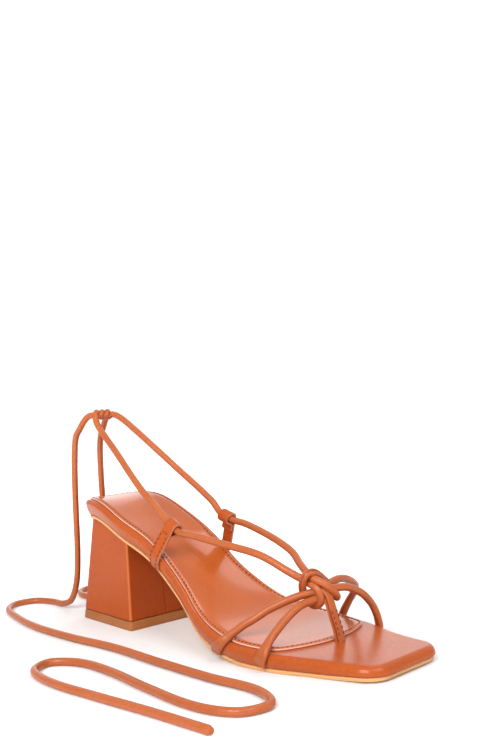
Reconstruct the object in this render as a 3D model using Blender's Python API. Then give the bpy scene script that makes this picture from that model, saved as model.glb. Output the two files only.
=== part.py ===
"""Ankle wrap sandal for the right foot: square toe, block heel, rolled leather straps and two long ties.

Sizes are millimetres until place() turns them into metres. Station runs forward from the back of the
heel seat, across is positive towards the medial side, and height is measured from the floor.
"""

import math
from collections import namedtuple

import bmesh
import bpy
from mathutils import Vector

# Driving sizes
MILLIMETRE = 0.001
LENGTH = 227.8
ORIGIN_STATION = 109.0
ORIGIN_ACROSS = 1.2
GAP = 0.3
SHARP_EDGE = math.radians(40.0)

# Sole
HEEL_CORNER = 12.5
TOE_CORNER = 9.7
TOE_SLANT = -0.046
TOE_SLANT_FROM = 185.0
TOE_SPRING = 0.95
TOE_SPRING_FROM = 198.0
CORNER_STEPS = 3
SIDE_STEPS = 17
COLUMNS = 4
WALL_AT_HEEL = 11.6
WALL_AT_TOE = 7.8
OUTSOLE_AT_HEEL = 1.6
OUTSOLE_AT_TOE = 1.8
LEAN_AT_HEEL = 2.4
LEAN_AT_TOE = 0.85
EDGE_ROLL = 2.6
EDGE_ROLL_AT_TOE = 3.6
EDGE_ROLL_STEPS = 3

# Sock lining
SOCK_INSET = 3.4
SOCK_FRONT = 184.0
SOCK_BOW = 9.0
SOCK_BOW_LENGTH = 45.0
SOCK_CORNER = 3.0
SOCK_LIFT = 0.45
SOCK_THICKNESS = 1.0

# Heel
LIFT_THICKNESS = 5.0
HEEL_BACK_CORNER = 5.0
HEEL_FRONT_CORNER = 1.6
HEEL_SIDE_STEPS = 4
HEEL_LEVEL_STEPS = 2
HEEL_RISE = 55.0

# Straps and ties
CORD_RADIUS = 1.9
CORD_SIDES = 8
LATERAL_TAB_HALF_WIDTH = 3.1
MEDIAL_TAB_HALF_WIDTH = 2.2
TAB_HALF_THICKNESS = 0.9
TAB_LENGTH = 15.0
THONG_HALF_WIDTH = 2.4
THONG_HALF_THICKNESS = 1.6
CURVE_PARTS = 12
STRAND_STEP = 3.6
KNOT_STEP = 3.0
STUB_LENGTH = 13.0
TIE_STEP = 9.8
TIE_LEAD = 6.0

# Half-knot behind the ankle
ANKLE_STATION = 3.5
ANKLE_HEIGHT = 120.5
ANKLE_HALF_WIDTH = 6.0
ANKLE_TURNS = 1.5
ANKLE_TWIST_RADIUS = 1.5
ANKLE_STEPS = 14
AnkleExit = namedtuple("AnkleExit", "back across drop")
ANKLE_EXIT = (AnkleExit(5.5, 7.2, 1.2), AnkleExit(9.0, 8.0, 4.0), AnkleExit(12.5, 8.6, 8.0))

# Side loops
LOOP_WIDTH = 7.8
LOOP_THICKNESS = 1.4
LOOP_TIE_GAP = 0.45
LOOP_WALL_GAP = 0.5
LOOP_FOOT = 0.6
LOOP_WALL_RISE = 7.5
LOOP_ARC = math.radians(235.0)
LOOP_ARC_STEPS = 9
LOOP_NECK = 4.8
LOOP_TAIL = 4.0
LOOP_LEADS = (5.6, 2.2, -2.2, -5.6)

Section = namedtuple("Section", "station lateral medial height dish")
SECTIONS = (
    Section(0.0, 16.6, 22.0, 70.6, 1.0),
    Section(25.0, 22.9, 27.2, 69.4, 1.6),
    Section(50.0, 25.4, 27.5, 60.2, 1.8),
    Section(75.0, 24.4, 25.0, 49.0, 2.0),
    Section(100.0, 26.2, 24.2, 32.0, 2.0),
    Section(125.0, 33.0, 30.8, 16.6, 1.4),
    Section(150.0, 37.2, 38.2, 10.2, 0.8),
    Section(175.0, 36.5, 36.4, 8.6, 0.4),
    Section(200.0, 30.0, 29.2, 7.8, 0.2),
    Section(228.0, 23.0, 26.0, 7.3, 0.0),
)

HeelPlan = namedtuple("HeelPlan", "back front lateral_back lateral_front medial_back medial_front hollow")
HEEL_AT_FLOOR = HeelPlan(-1.2, 57.5, 19.0, 25.0, 20.5, 25.5, 0.0)
HEEL_AT_SEAT = HeelPlan(7.0, 54.0, 14.6, 22.6, 18.5, 24.4, 2.5)

Point = namedtuple("Point", "station across height")
LATERAL_REAR_STRAND = (
    Point(142.8, -36.6, 4.3),
    Point(143.2, -37.1, 5.8),
    Point(144.6, -37.8, 7.3),
    Point(147.0, -38.5, 8.8),
    Point(149.4, -38.1, 10.7),
    Point(150.7, -36.7, 12.0),
    Point(151.2, -34.4, 13.3),
    Point(152.1, -31.0, 14.8),
    Point(153.0, -27.5, 16.5),
    Point(155.9, -24.6, 18.6),
    Point(162.3, -17.2, 23.8),
    Point(171.3, -7.0, 28.4),
    Point(177.5, 0.0, 30.0),
)
LATERAL_FRONT_STRAND = (
    Point(172.7, -37.2, 3.7),
    Point(173.4, -37.5, 5.1),
    Point(174.8, -37.9, 7.4),
    Point(175.6, -37.3, 9.1),
    Point(175.7, -36.0, 10.7),
    Point(175.6, -31.0, 15.0),
    Point(176.0, -21.9, 21.2),
    Point(176.5, -12.8, 25.4),
    Point(177.3, -6.0, 26.4),
    Point(178.3, -1.0, 27.2),
)
MEDIAL_REAR_STRAND = (
    Point(152.4, 40.1, 4.0),
    Point(155.5, 40.3, 10.0),
    Point(160.0, 40.2, 16.5),
    Point(165.0, 38.5, 21.4),
    Point(169.8, 34.2, 26.4),
    Point(173.3, 24.5, 31.1),
    Point(175.6, 15.0, 32.9),
    Point(177.5, 3.0, 31.5),
)
MEDIAL_FRONT_STRAND = (
    Point(181.9, 36.0, 3.0),
    Point(181.9, 36.3, 8.0),
    Point(182.0, 34.9, 12.8),
    Point(182.1, 32.2, 17.8),
    Point(182.5, 26.0, 23.9),
    Point(182.0, 20.0, 27.6),
    Point(182.0, 12.5, 30.2),
    Point(180.0, 3.0, 30.6),
)
Strand = namedtuple("Strand", "name side tab points")
STRANDS = (
    Strand("lateral_rear", -1, LATERAL_TAB_HALF_WIDTH, LATERAL_REAR_STRAND),
    Strand("lateral_front", -1, LATERAL_TAB_HALF_WIDTH, LATERAL_FRONT_STRAND),
    Strand("medial_rear", 1, MEDIAL_TAB_HALF_WIDTH, MEDIAL_REAR_STRAND),
    Strand("medial_front", 1, MEDIAL_TAB_HALF_WIDTH, MEDIAL_FRONT_STRAND),
)
TOE_THONG = (
    Point(187.4, 0.9, 8.9),
    Point(186.6, 0.6, 13.3),
    Point(185.1, -0.1, 19.5),
    Point(183.6, -0.3, 24.9),
    Point(182.0, -0.3, 28.5),
    Point(179.6, -0.3, 30.9),
    Point(175.9, -0.1, 32.4),
)
# Front knot: an arch on the lateral side, and the front ends of both ties under it. The lateral tie turns
# round the lateral strands, and the medial tie is tucked back under the medial ones.
KNOT_ARCH = (
    Point(169.4, -1.6, 26.6),
    Point(170.7, -4.5, 30.6),
    Point(173.0, -6.7, 34.2),
    Point(174.7, -6.8, 37.5),
    Point(175.8, -5.2, 39.1),
    Point(176.3, -2.3, 39.0),
    Point(176.0, 1.4, 37.1),
    Point(176.0, 4.6, 34.5),
    Point(176.4, 7.8, 31.6),
)
KNOT_TURN = (
    Point(171.8, 3.4, 28.3),
    Point(170.1, 1.7, 26.1),
    Point(170.5, -0.1, 24.6),
    Point(172.8, -1.3, 23.5),
    Point(176.3, -1.9, 23.5),
    Point(179.2, -2.2, 24.9),
    Point(180.3, -2.3, 26.7),
    Point(180.1, -2.7, 29.4),
    Point(178.5, -3.1, 31.8),
    Point(175.8, -3.3, 33.3),
    Point(172.3, -3.0, 34.2),
)
KNOT_TUCK = (
    Point(175.6, 7.1, 30.2),
    Point(177.5, 8.7, 27.6),
    Point(180.0, 8.3, 26.1),
    Point(182.4, 6.2, 27.0),
    Point(183.5, 3.6, 29.2),
    Point(182.9, 0.9, 31.9),
    Point(181.0, -1.3, 34.1),
    Point(177.9, -2.6, 35.6),
    Point(174.7, -2.9, 36.9),
)
# Ties from the front knot, through the side loop, to the half-knot behind the ankle
LATERAL_TIE = (
    Point(175.8, -3.3, 33.3),
    Point(172.3, -3.0, 34.2),
    Point(169.8, -4.0, 35.7),
    Point(165.7, -6.6, 38.4),
    Point(149.9, -11.3, 46.4),
    Point(129.3, -15.5, 50.8),
    Point(105.1, -18.0, 54.7),
)
LATERAL_SLING = (
    Point(75.6, -16.9, 68.4),
    Point(60.1, -15.4, 77.7),
    Point(30.0, -10.2, 98.6),
    Point(14.7, -7.2, 108.2),
    Point(8.2, -7.2, 115.0),
)
MEDIAL_TIE = (
    Point(177.9, -2.6, 35.6),
    Point(174.7, -2.9, 36.9),
    Point(171.7, -2.2, 38.5),
    Point(168.1, -0.3, 39.7),
    Point(162.4, 3.0, 41.4),
    Point(153.8, 7.4, 45.2),
    Point(141.7, 10.9, 49.0),
    Point(127.5, 14.3, 52.4),
    Point(108.2, 18.2, 56.1),
)
MEDIAL_SLING = (
    Point(79.8, 19.3, 67.9),
    Point(54.2, 15.7, 86.5),
    Point(22.9, 8.6, 111.2),
    Point(11.0, 7.4, 118.4),
)

# A strip loop stands on the wall at its station and leans forward, and inward above the wall. The tie runs
# through it at its own slope, and rise is the way up to the tie.
SideLoop = namedtuple("SideLoop", "name side station lean slope rise inward tie sling")
SIDE_LOOPS = (
    SideLoop("side_loop_lateral", -1, 81.2, math.radians(25.0), math.radians(25.0), 22.8, 5.7,
             LATERAL_TIE, LATERAL_SLING),
    SideLoop("side_loop_medial", 1, 80.7, math.radians(28.9), math.radians(18.0), 24.6, 2.9,
             MEDIAL_TIE, MEDIAL_SLING),
)

# Loose ends of the ties: down behind the heel and along the floor, each on its own side
CORD_LIE = CORD_RADIUS + 0.1
LATERAL_END = (
    Point(-15.0, -9.4, 99.0),
    Point(-16.0, -9.8, 80.0),
    Point(-16.0, -10.2, 58.0),
    Point(-16.0, -10.5, 36.0),
    Point(-18.0, -11.0, 18.0),
    Point(-24.0, -11.5, 6.5),
    Point(-35.0, -11.0, 2.6),
    Point(-50.0, -10.0, CORD_LIE),
    Point(-63.0, -15.0, CORD_LIE),
    Point(-65.0, -28.0, CORD_LIE),
    Point(-54.0, -39.0, CORD_LIE),
    Point(-30.0, -47.0, CORD_LIE),
    Point(5.0, -54.0, CORD_LIE),
    Point(45.0, -56.0, CORD_LIE),
    Point(85.0, -55.0, CORD_LIE),
    Point(125.0, -58.0, CORD_LIE),
    Point(165.0, -60.0, CORD_LIE),
    Point(195.0, -60.0, CORD_LIE),
    Point(212.0, -69.0, CORD_LIE),
    Point(209.0, -83.0, CORD_LIE),
    Point(190.0, -89.0, CORD_LIE),
    Point(155.0, -86.0, CORD_LIE),
    Point(120.0, -81.0, CORD_LIE),
    Point(94.0, -81.0, CORD_LIE),
    Point(81.0, -90.0, CORD_LIE),
    Point(88.0, -102.0, CORD_LIE),
    Point(112.0, -107.0, CORD_LIE),
    Point(145.0, -106.0, CORD_LIE),
    Point(180.0, -104.0, CORD_LIE),
    Point(216.0, -103.0, CORD_LIE),
)
MEDIAL_END = (
    Point(-15.0, 9.4, 99.0),
    Point(-16.0, 9.8, 80.0),
    Point(-16.0, 10.2, 58.0),
    Point(-16.0, 10.5, 36.0),
    Point(-18.0, 11.0, 18.0),
    Point(-24.0, 11.5, 6.5),
    Point(-35.0, 12.0, 2.6),
    Point(-50.0, 13.0, CORD_LIE),
    Point(-63.0, 20.0, CORD_LIE),
    Point(-67.0, 33.0, CORD_LIE),
    Point(-57.0, 45.0, CORD_LIE),
    Point(-35.0, 51.0, CORD_LIE),
    Point(0.0, 52.0, CORD_LIE),
    Point(40.0, 50.0, CORD_LIE),
    Point(75.0, 49.6, CORD_LIE),
    Point(96.0, 50.4, CORD_LIE),
    Point(105.0, 51.3, CORD_LIE),
    Point(111.2, 54.0, CORD_LIE),
    Point(113.7, 60.0, CORD_LIE),
    Point(111.2, 66.0, CORD_LIE),
    Point(105.0, 68.7, CORD_LIE),
    Point(70.0, 68.0, CORD_LIE),
    Point(10.0, 66.4, CORD_LIE),
    Point(-52.0, 67.8, CORD_LIE),
    Point(-58.2, 70.5, CORD_LIE),
    Point(-60.7, 76.5, CORD_LIE),
    Point(-58.2, 82.5, CORD_LIE),
    Point(-52.0, 85.2, CORD_LIE),
    Point(-15.0, 85.0, CORD_LIE),
    Point(21.0, 85.2, CORD_LIE),
    Point(27.2, 87.9, CORD_LIE),
    Point(29.7, 93.9, CORD_LIE),
    Point(27.2, 99.9, CORD_LIE),
    Point(21.0, 102.6, CORD_LIE),
    Point(-20.0, 103.0, CORD_LIE),
    Point(-66.0, 101.0, CORD_LIE),
)

Finish = namedtuple("Finish", "name colour roughness")
TAN_LEATHER = Finish("tan_leather", (0.62, 0.16, 0.045), 0.42)
SOCK_LEATHER = Finish("sock_leather", (0.60, 0.17, 0.06), 0.34)
PALE_SOLE = Finish("pale_sole", (0.80, 0.50, 0.24), 0.60)
TOP_LIFT_RUBBER = Finish("top_lift_rubber", (0.42, 0.19, 0.06), 0.65)


def place(station, across, height):
    """Put a point of the tables, in millimetres, into the part's frame, in metres."""
    return Vector((station - ORIGIN_STATION, across - ORIGIN_ACROSS, height)) * MILLIMETRE


def mix(start, end, share):
    """Return the value a given share of the way from start to end."""
    return start + (end - start) * share


def ease(share):
    """Rise smoothly from 0 to 1 as share does."""
    share = min(max(share, 0.0), 1.0)
    return share * share * (3.0 - 2.0 * share)


def column_slope(column, index):
    """Slope of a section column at one row, from the rows on both sides."""
    before = SECTIONS[max(index - 1, 0)]
    after = SECTIONS[min(index + 1, len(SECTIONS) - 1)]
    return (getattr(after, column) - getattr(before, column)) / (after.station - before.station)


def section_value(column, station):
    """Read one column of the section table at any station, on a smooth curve through its rows."""
    last = len(SECTIONS) - 2
    index = 0
    while index < last and station > SECTIONS[index + 1].station:
        index += 1
    low, high = SECTIONS[index], SECTIONS[index + 1]
    span = high.station - low.station
    share = (station - low.station) / span
    start, end = getattr(low, column), getattr(high, column)
    bend_out = start + column_slope(column, index) * span / 3.0
    bend_in = end - column_slope(column, index + 1) * span / 3.0
    back = 1.0 - share
    return start * back**3 + 3.0 * back * share * (bend_out * back + bend_in * share) + end * share**3


def half_width(side, station):
    """Half-width of the sole on the lateral (-1) or medial (+1) side."""
    return section_value("lateral" if side < 0 else "medial", station)


def toe_share(station, start):
    """How far a station lies from a start towards the toe, rising smoothly from 0 to 1."""
    return ease((station - start) / (LENGTH - start))


def underside(station):
    """Height of the outsole's lower face: flat on the floor under the forefoot, with a little toe spring."""
    wall = mix(WALL_AT_HEEL, WALL_AT_TOE, station / LENGTH)
    return max(section_value("height", station) - wall, 0.0) + TOE_SPRING * toe_share(station, TOE_SPRING_FROM)


def outsole_top(station):
    """Height of the joint between outsole and footbed."""
    return underside(station) + mix(OUTSOLE_AT_HEEL, OUTSOLE_AT_TOE, station / LENGTH)


def lean(station):
    """How far the wall draws in from its upper edge to the outsole."""
    return mix(LEAN_AT_HEEL, LEAN_AT_TOE, station / LENGTH)


def edge_roll(station):
    """Radius of the footbed's rolled upper edge, fuller at the toe."""
    return mix(EDGE_ROLL, EDGE_ROLL_AT_TOE, toe_share(station, TOE_SLANT_FROM))


def wall_draw(station, height):
    """How far the wall lies inside its upper edge at a height."""
    foot = outsole_top(station)
    upper_edge = section_value("height", station) - edge_roll(station)
    climb = (height - foot) / (upper_edge - foot)
    return lean(station) * min(max(1.0 - climb, 0.0), 1.0)


def foot_surface(station, across):
    """Height of the footbed's hollowed upper face."""
    reach = across / half_width(across, station)
    return section_value("height", station) - section_value("dish", station) * (1.0 - reach * reach)


def material(finish):
    """Return the material of a finish, made on first use."""
    found = bpy.data.materials.get(finish.name)
    if found:
        return found
    made = bpy.data.materials.new(finish.name)
    made.use_nodes = True
    shader = made.node_tree.nodes["Principled BSDF"]
    shader.inputs["Base Color"].default_value = (*finish.colour, 1.0)
    shader.inputs["Roughness"].default_value = finish.roughness
    made.diffuse_color = (*finish.colour, 1.0)
    return made


def add_object(name, work, finish):
    """Turn a bmesh into a named object with outward faces."""
    bmesh.ops.recalc_face_normals(work, faces=work.faces)
    mesh = bpy.data.meshes.new(name)
    work.to_mesh(mesh)
    work.free()
    mesh.shade_smooth()
    mesh.set_sharp_from_angle(angle=SHARP_EDGE)
    mesh.materials.append(material(finish))
    made = bpy.data.objects.new(name, mesh)
    bpy.context.collection.objects.link(made)
    return made


def border(grid):
    """Walk round the edge of a grid: lateral side forward, then the medial side back."""
    lateral = [rung[0] for rung in grid]
    medial = [rung[-1] for rung in reversed(grid)]
    return lateral + list(grid[-1][1:-1]) + medial + list(reversed(grid[0][1:-1]))


def cap(work, grid, upward):
    """Face a grid of vertices."""
    for near, far in zip(grid, grid[1:]):
        for column in range(len(near) - 1):
            corners = (near[column], far[column], far[column + 1], near[column + 1])
            work.faces.new(corners if upward else tuple(reversed(corners)))


def stack(name, levels, finish):
    """Make a closed solid from levels, each a grid of rungs from the lateral to the medial side."""
    work = bmesh.new()
    bottom, top = ([[work.verts.new(place(*point)) for point in rung] for rung in level]
                   for level in (levels[0], levels[-1]))
    loops = [border(bottom)]
    for level in levels[1:-1]:
        loops.append([work.verts.new(place(*point)) for point in border(level)])
    loops.append(border(top))
    for lower, upper in zip(loops, loops[1:]):
        for index in range(len(lower)):
            work.faces.new((lower[index - 1], lower[index], upper[index], upper[index - 1]))
    cap(work, bottom, upward=False)
    cap(work, top, upward=True)
    return add_object(name, work, finish)


def corner_angles():
    """Angles round a quarter circle."""
    return [math.pi / 2 * step / CORNER_STEPS for step in range(CORNER_STEPS + 1)]


def plan_rungs(back, front, back_corner, front_corner, steps, inset):
    """Rungs of a plan with rounded corners, each a station and how far the sides draw in there.

    inset(station) is how far the plan lies inside its widest outline.
    """
    rungs = []
    radius = back_corner - inset(back)
    middle = back + back_corner
    for angle in corner_angles():
        rungs.append((middle - radius * math.cos(angle), back_corner - radius * math.sin(angle)))
    for step in range(1, steps):
        station = mix(middle, front - front_corner, step / steps)
        rungs.append((station, inset(station)))
    radius = front_corner - inset(front)
    middle = front - front_corner
    for angle in corner_angles():
        rungs.append((middle + radius * math.sin(angle), front_corner - radius * math.cos(angle)))
    return rungs


def plan_grid(rungs, width, shift, height):
    """Grid of points over a plan.

    width(side, station) is a half-width, shift(station, across) moves a point along the shoe and
    height(station, across) gives its height.
    """
    grid = []
    for station, drawn in rungs:
        lateral = drawn - width(-1, station)
        medial = width(1, station) - drawn
        rung = []
        for column in range(COLUMNS + 1):
            across = mix(lateral, medial, column / COLUMNS)
            along = station + shift(station, across)
            rung.append((along, across, height(along, across)))
        grid.append(rung)
    return grid


def toe_shift(station, across):
    """Slant of the square toe's front edge."""
    return TOE_SLANT * across * toe_share(station, TOE_SLANT_FROM)


def sole_grid(inset, height):
    """Grid over the whole sole, drawn in by inset(station), at height(station, across)."""
    rungs = plan_rungs(0.0, LENGTH, HEEL_CORNER, TOE_CORNER, SIDE_STEPS, inset)
    return plan_grid(rungs, half_width, toe_shift, height)


def make_outsole():
    """Pale sheet that follows the arch and lies flat under the forefoot."""
    lower = sole_grid(lean, lambda station, across: underside(station))
    upper = sole_grid(lean, lambda station, across: outsole_top(station))
    return stack("outsole", (lower, upper), PALE_SOLE)


def make_footbed():
    """Leather-wrapped board: a leaning wall, a rolled upper edge and a hollowed upper face."""
    levels = [sole_grid(lean, lambda station, across: outsole_top(station) + GAP)]
    for step in range(EDGE_ROLL_STEPS + 1):
        angle = math.pi / 2 * step / EDGE_ROLL_STEPS
        inset = 1.0 - math.cos(angle)
        drop = 1.0 - math.sin(angle)
        levels.append(sole_grid(lambda station: inset * edge_roll(station),
                                lambda station, across: foot_surface(station, across) - drop * edge_roll(station)))
    return stack("footbed", levels, TAN_LEATHER)


def sock_shift(station, across):
    """Bow of the sock's front edge, furthest forward in the middle."""
    reach = across / half_width(across, station)
    return -SOCK_BOW * reach * reach * ease((station - SOCK_FRONT) / SOCK_BOW_LENGTH + 1.0)


def make_sock_lining():
    """Thin sock over the footbed, from the heel to just behind the toe thong."""
    rungs = plan_rungs(0.0, SOCK_FRONT + SOCK_INSET, HEEL_CORNER, SOCK_CORNER + SOCK_INSET,
                       SIDE_STEPS, lambda station: SOCK_INSET)
    levels = [plan_grid(rungs, half_width, sock_shift,
                        lambda station, across: foot_surface(station, across) + lift)
              for lift in (SOCK_LIFT, SOCK_LIFT + SOCK_THICKNESS)]
    return stack("sock_lining", levels, SOCK_LEATHER)


def heel_grid(share, height):
    """Grid over the heel's plan, a share of the way up from the floor to the seat."""
    plan = HeelPlan(*(mix(low, high, share) for low, high in zip(HEEL_AT_FLOOR, HEEL_AT_SEAT)))
    length = plan.front - plan.back

    def width(side, station):
        run = (station - plan.back) / length
        if side < 0:
            return mix(plan.lateral_back, plan.lateral_front, run)
        return mix(plan.medial_back, plan.medial_front, run)

    def breast_shift(station, across):
        reach = across / width(across, station)
        return -plan.hollow * max(1.0 - reach * reach, 0.0) * ease((station - plan.back) / length)

    rungs = plan_rungs(plan.back, plan.front, HEEL_BACK_CORNER, HEEL_FRONT_CORNER, HEEL_SIDE_STEPS,
                       lambda station: 0.0)
    return plan_grid(rungs, width, breast_shift, height)


def make_heel_top_lift():
    """Wearing layer under the heel, flat on the floor."""
    levels = [heel_grid(height / HEEL_RISE, lambda station, across: height)
              for height in (0.0, LIFT_THICKNESS)]
    return stack("heel_top_lift", levels, TOP_LIFT_RUBBER)


def make_heel_block():
    """Flared block under the seat; its upper face follows the outsole."""
    foot = LIFT_THICKNESS + GAP
    levels = []
    for step in range(HEEL_LEVEL_STEPS + 1):
        climb = step / HEEL_LEVEL_STEPS
        levels.append(heel_grid(mix(foot / HEEL_RISE, 1.0, climb),
                                lambda station, across: mix(foot, underside(station) - GAP, climb)))
    return stack("heel_block", levels, TAN_LEATHER)


def smooth_route(points, step):
    """Points at even distances along a smooth curve through the route's own points."""
    knots = [Vector(point) for point in points]
    fine = []
    for index in range(len(knots) - 1):
        start, end = knots[index], knots[index + 1]
        before = knots[index - 1] if index else start * 2.0 - end
        after = knots[index + 2] if index + 2 < len(knots) else end * 2.0 - start
        span = (end - start).length
        leave = (end - before) * (span / ((start - before).length + span))
        arrive = (after - start) * (span / ((after - end).length + span))
        for part in range(CURVE_PARTS):
            share = part / CURVE_PARTS
            back = 1.0 - share
            fine.append(start * (back * back * (1.0 + 2.0 * share)) + leave * (share * back * back)
                        + end * (share * share * (3.0 - 2.0 * share)) - arrive * (share * share * back))
    fine.append(knots[-1])
    return even_points(fine, step)


def route_length(points):
    """Length along a list of points."""
    return sum((after - before).length for before, after in zip(points, points[1:]))


def even_points(points, step):
    """Points at even distances along a list of close points."""
    count = max(round(route_length(points) / step), 2)
    spacing = route_length(points) / count
    even = [points[0]]
    walked = 0.0
    for before, after in zip(points, points[1:]):
        span = (after - before).length
        while len(even) < count and walked + span >= spacing * len(even):
            even.append(before.lerp(after, (spacing * len(even) - walked) / span))
        walked += span
    even.append(points[-1])
    return even


def cut_route(points, start, length):
    """The stretch of a route from a distance along it, of a given length."""
    kept = []
    walked = 0.0
    for before, after in zip(points, points[1:]):
        span = (after - before).length
        low = max(start - walked, 0.0)
        high = min(start + length - walked, span)
        if low < high:
            kept = kept or [before.lerp(after, low / span)]
            kept.append(before.lerp(after, high / span))
        walked += span
    return kept


def sweep(name, route, section, facing):
    """Sweep an oval along a route.

    section(distance) gives the oval's half-width and half-thickness, and facing is the direction of
    its thickness at the start.
    """
    work = bmesh.new()
    rings = []
    normal = Vector(facing)
    walked = 0.0
    for index, centre in enumerate(route):
        before = route[max(index - 1, 0)]
        after = route[min(index + 1, len(route) - 1)]
        tangent = (after - before).normalized()
        normal = (normal - tangent * normal.dot(tangent)).normalized()
        side = tangent.cross(normal)
        walked += (centre - before).length
        half_wide, half_thick = section(walked)
        ring = []
        for corner in range(CORD_SIDES):
            angle = 2.0 * math.pi * corner / CORD_SIDES
            point = centre + normal * (half_thick * math.cos(angle)) + side * (half_wide * math.sin(angle))
            ring.append(work.verts.new(place(*point)))
        rings.append(ring)
    for near, far in zip(rings, rings[1:]):
        for corner in range(CORD_SIDES):
            work.faces.new((near[corner - 1], near[corner], far[corner], far[corner - 1]))
    work.faces.new(rings[0])
    work.faces.new(rings[-1])
    return add_object(name, work, TAN_LEATHER)


def cord_section(distance):
    """Round cord."""
    return CORD_RADIUS, CORD_RADIUS


def strand_section(tab, distance):
    """Flat tab on the wall, of a half-width, that turns into a round cord."""
    share = ease(distance / TAB_LENGTH)
    return mix(tab, CORD_RADIUS, share), mix(TAB_HALF_THICKNESS, CORD_RADIUS, share)


def thong_section(distance):
    """Folded strip between the toes."""
    return THONG_HALF_WIDTH, THONG_HALF_THICKNESS


def join(name, pieces):
    """Unite the pieces in the first one, which takes the name."""
    body = pieces[0]
    body.name = name
    for piece in pieces[1:]:
        union = body.modifiers.new(piece.name, "BOOLEAN")
        union.operation = "UNION"
        union.solver = "EXACT"
        union.object = piece
        piece.hide_render = True
        piece.display_type = "WIRE"
    return body


def loop_point(loop, slide, out, climb):
    """A point of a side loop: slide along the tie, out from the wall and climb up the strip."""
    along = math.cos(loop.slope) * slide + math.sin(loop.lean) * climb
    rise = math.cos(loop.lean) * climb - math.sin(loop.slope) * slide
    station = loop.station + along
    height = outsole_top(loop.station) + LOOP_FOOT + rise
    across = loop.side * (half_width(loop.side, station) - wall_draw(station, height) + out)
    return Vector((station, across, height))


def loop_ring(loop):
    """Radius of a loop's bend round the tie, and how far its centre lies out from the wall."""
    radius = CORD_RADIUS + LOOP_TIE_GAP + LOOP_THICKNESS / 2
    return radius, LOOP_WALL_GAP + LOOP_THICKNESS / 2 - loop.inward - radius


def loop_strip(loop):
    """Middle line of a loop's strip: up the wall, round the tie and back down inside."""
    radius, centre = loop_ring(loop)
    outer = LOOP_WALL_GAP + LOOP_THICKNESS / 2
    reach = Vector((outer - centre, loop.rise - LOOP_WALL_RISE))
    lean_in = math.atan2(*reach) - math.asin(radius / reach.length)
    line = [(outer, climb) for climb in (0.0, LOOP_WALL_RISE / 2, LOOP_WALL_RISE)]
    for step in range(LOOP_ARC_STEPS + 1):
        angle = lean_in + LOOP_ARC * step / LOOP_ARC_STEPS
        line.append((centre + radius * math.cos(angle), loop.rise + radius * math.sin(angle)))
    inner = radius - LOOP_THICKNESS - GAP
    for drop in (LOOP_NECK, LOOP_NECK + LOOP_TAIL):
        line.append((centre + inner * math.cos(lean_in) + drop * math.sin(lean_in),
                     loop.rise + inner * math.sin(lean_in) - drop * math.cos(lean_in)))
    return [Vector(point) for point in line]


def thick_outline(line, thickness):
    """Closed outline of a strip of a given thickness along a middle line."""
    left, right = [], []
    for index, point in enumerate(line):
        sides = []
        if index:
            sides.append((point - line[index - 1]).normalized().orthogonal())
        if index + 1 < len(line):
            sides.append((line[index + 1] - point).normalized().orthogonal())
        normal = sum(sides, Vector((0.0, 0.0))).normalized()
        reach = thickness / 2 / normal.dot(sides[0])
        left.append(point + normal * reach)
        right.append(point - normal * reach)
    return left + list(reversed(right))


def make_side_loop(loop):
    """Strip that runs up the wall and folds round the tie."""
    work = bmesh.new()
    outline = thick_outline(loop_strip(loop), LOOP_THICKNESS)
    near, far = ([work.verts.new(place(*loop_point(loop, slide, *point))) for point in outline]
                 for slide in (-LOOP_WIDTH / 2, LOOP_WIDTH / 2))
    for index in range(len(outline)):
        work.faces.new((near[index - 1], near[index], far[index], far[index - 1]))
    work.faces.new(near)
    work.faces.new(far)
    return add_object(loop.name, work, TAN_LEATHER)


def half_knot(side):
    """One cord's way through the half-knot: round the other cord, from its own side to the far side."""
    route = []
    for step in range(ANKLE_STEPS + 1):
        share = step / ANKLE_STEPS
        across = side * ANKLE_HALF_WIDTH * (1.0 - 2.0 * share)
        angle = 2.0 * math.pi * ANKLE_TURNS * side * -share
        route.append(Vector((ANKLE_STATION + ANKLE_TWIST_RADIUS * math.cos(angle), across,
                             ANKLE_HEIGHT + ANKLE_TWIST_RADIUS * math.sin(angle))))
    return route


def tie_route(loop):
    """The whole fixed stretch of a tie: front knot, side loop, half-knot and the way out of it."""
    _, centre = loop_ring(loop)
    through = [loop_point(loop, slide, centre, loop.rise) for slide in LOOP_LEADS]
    out = [Vector((ANKLE_STATION - back, -loop.side * across, ANKLE_HEIGHT - drop))
           for back, across, drop in ANKLE_EXIT]
    points = [Vector(point) for point in loop.tie] + through + [Vector(point) for point in loop.sling]
    return smooth_route(points + half_knot(loop.side) + out, KNOT_STEP)


def make_toe_straps():
    """Two strands a side, the toe thong and the knot, joined where they cross."""
    pieces = []
    for strand in STRANDS:
        route = smooth_route(strand.points, STRAND_STEP)
        pieces.append(sweep(strand.name, route, lambda distance: strand_section(strand.tab, distance),
                            (0.0, strand.side, 0.0)))
    pieces.append(sweep("thong", smooth_route(TOE_THONG, STRAND_STEP), thong_section, (1.0, 0.0, 0.0)))
    for name, points in (("arch", KNOT_ARCH), ("turn", KNOT_TURN), ("tuck", KNOT_TUCK)):
        pieces.append(sweep(name, smooth_route(points, KNOT_STEP), cord_section, (0.0, 1.0, 0.0)))
    for loop in SIDE_LOOPS:
        stub = cut_route(tie_route(loop), 0.0, STUB_LENGTH)
        pieces.append(sweep("stub", even_points(stub, KNOT_STEP), cord_section, (0.0, 0.0, 1.0)))
    return join("upper_toe_straps", pieces)


def make_ankle_sling():
    """Both ties from the front knot to the half-knot behind the ankle, joined there."""
    pieces = []
    for loop in SIDE_LOOPS:
        rest = cut_route(tie_route(loop), STUB_LENGTH + GAP, math.inf)
        pieces.append(sweep("sling", rest, cord_section, (0.0, 0.0, 1.0)))
    return join("upper_ankle_sling", pieces)


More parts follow.
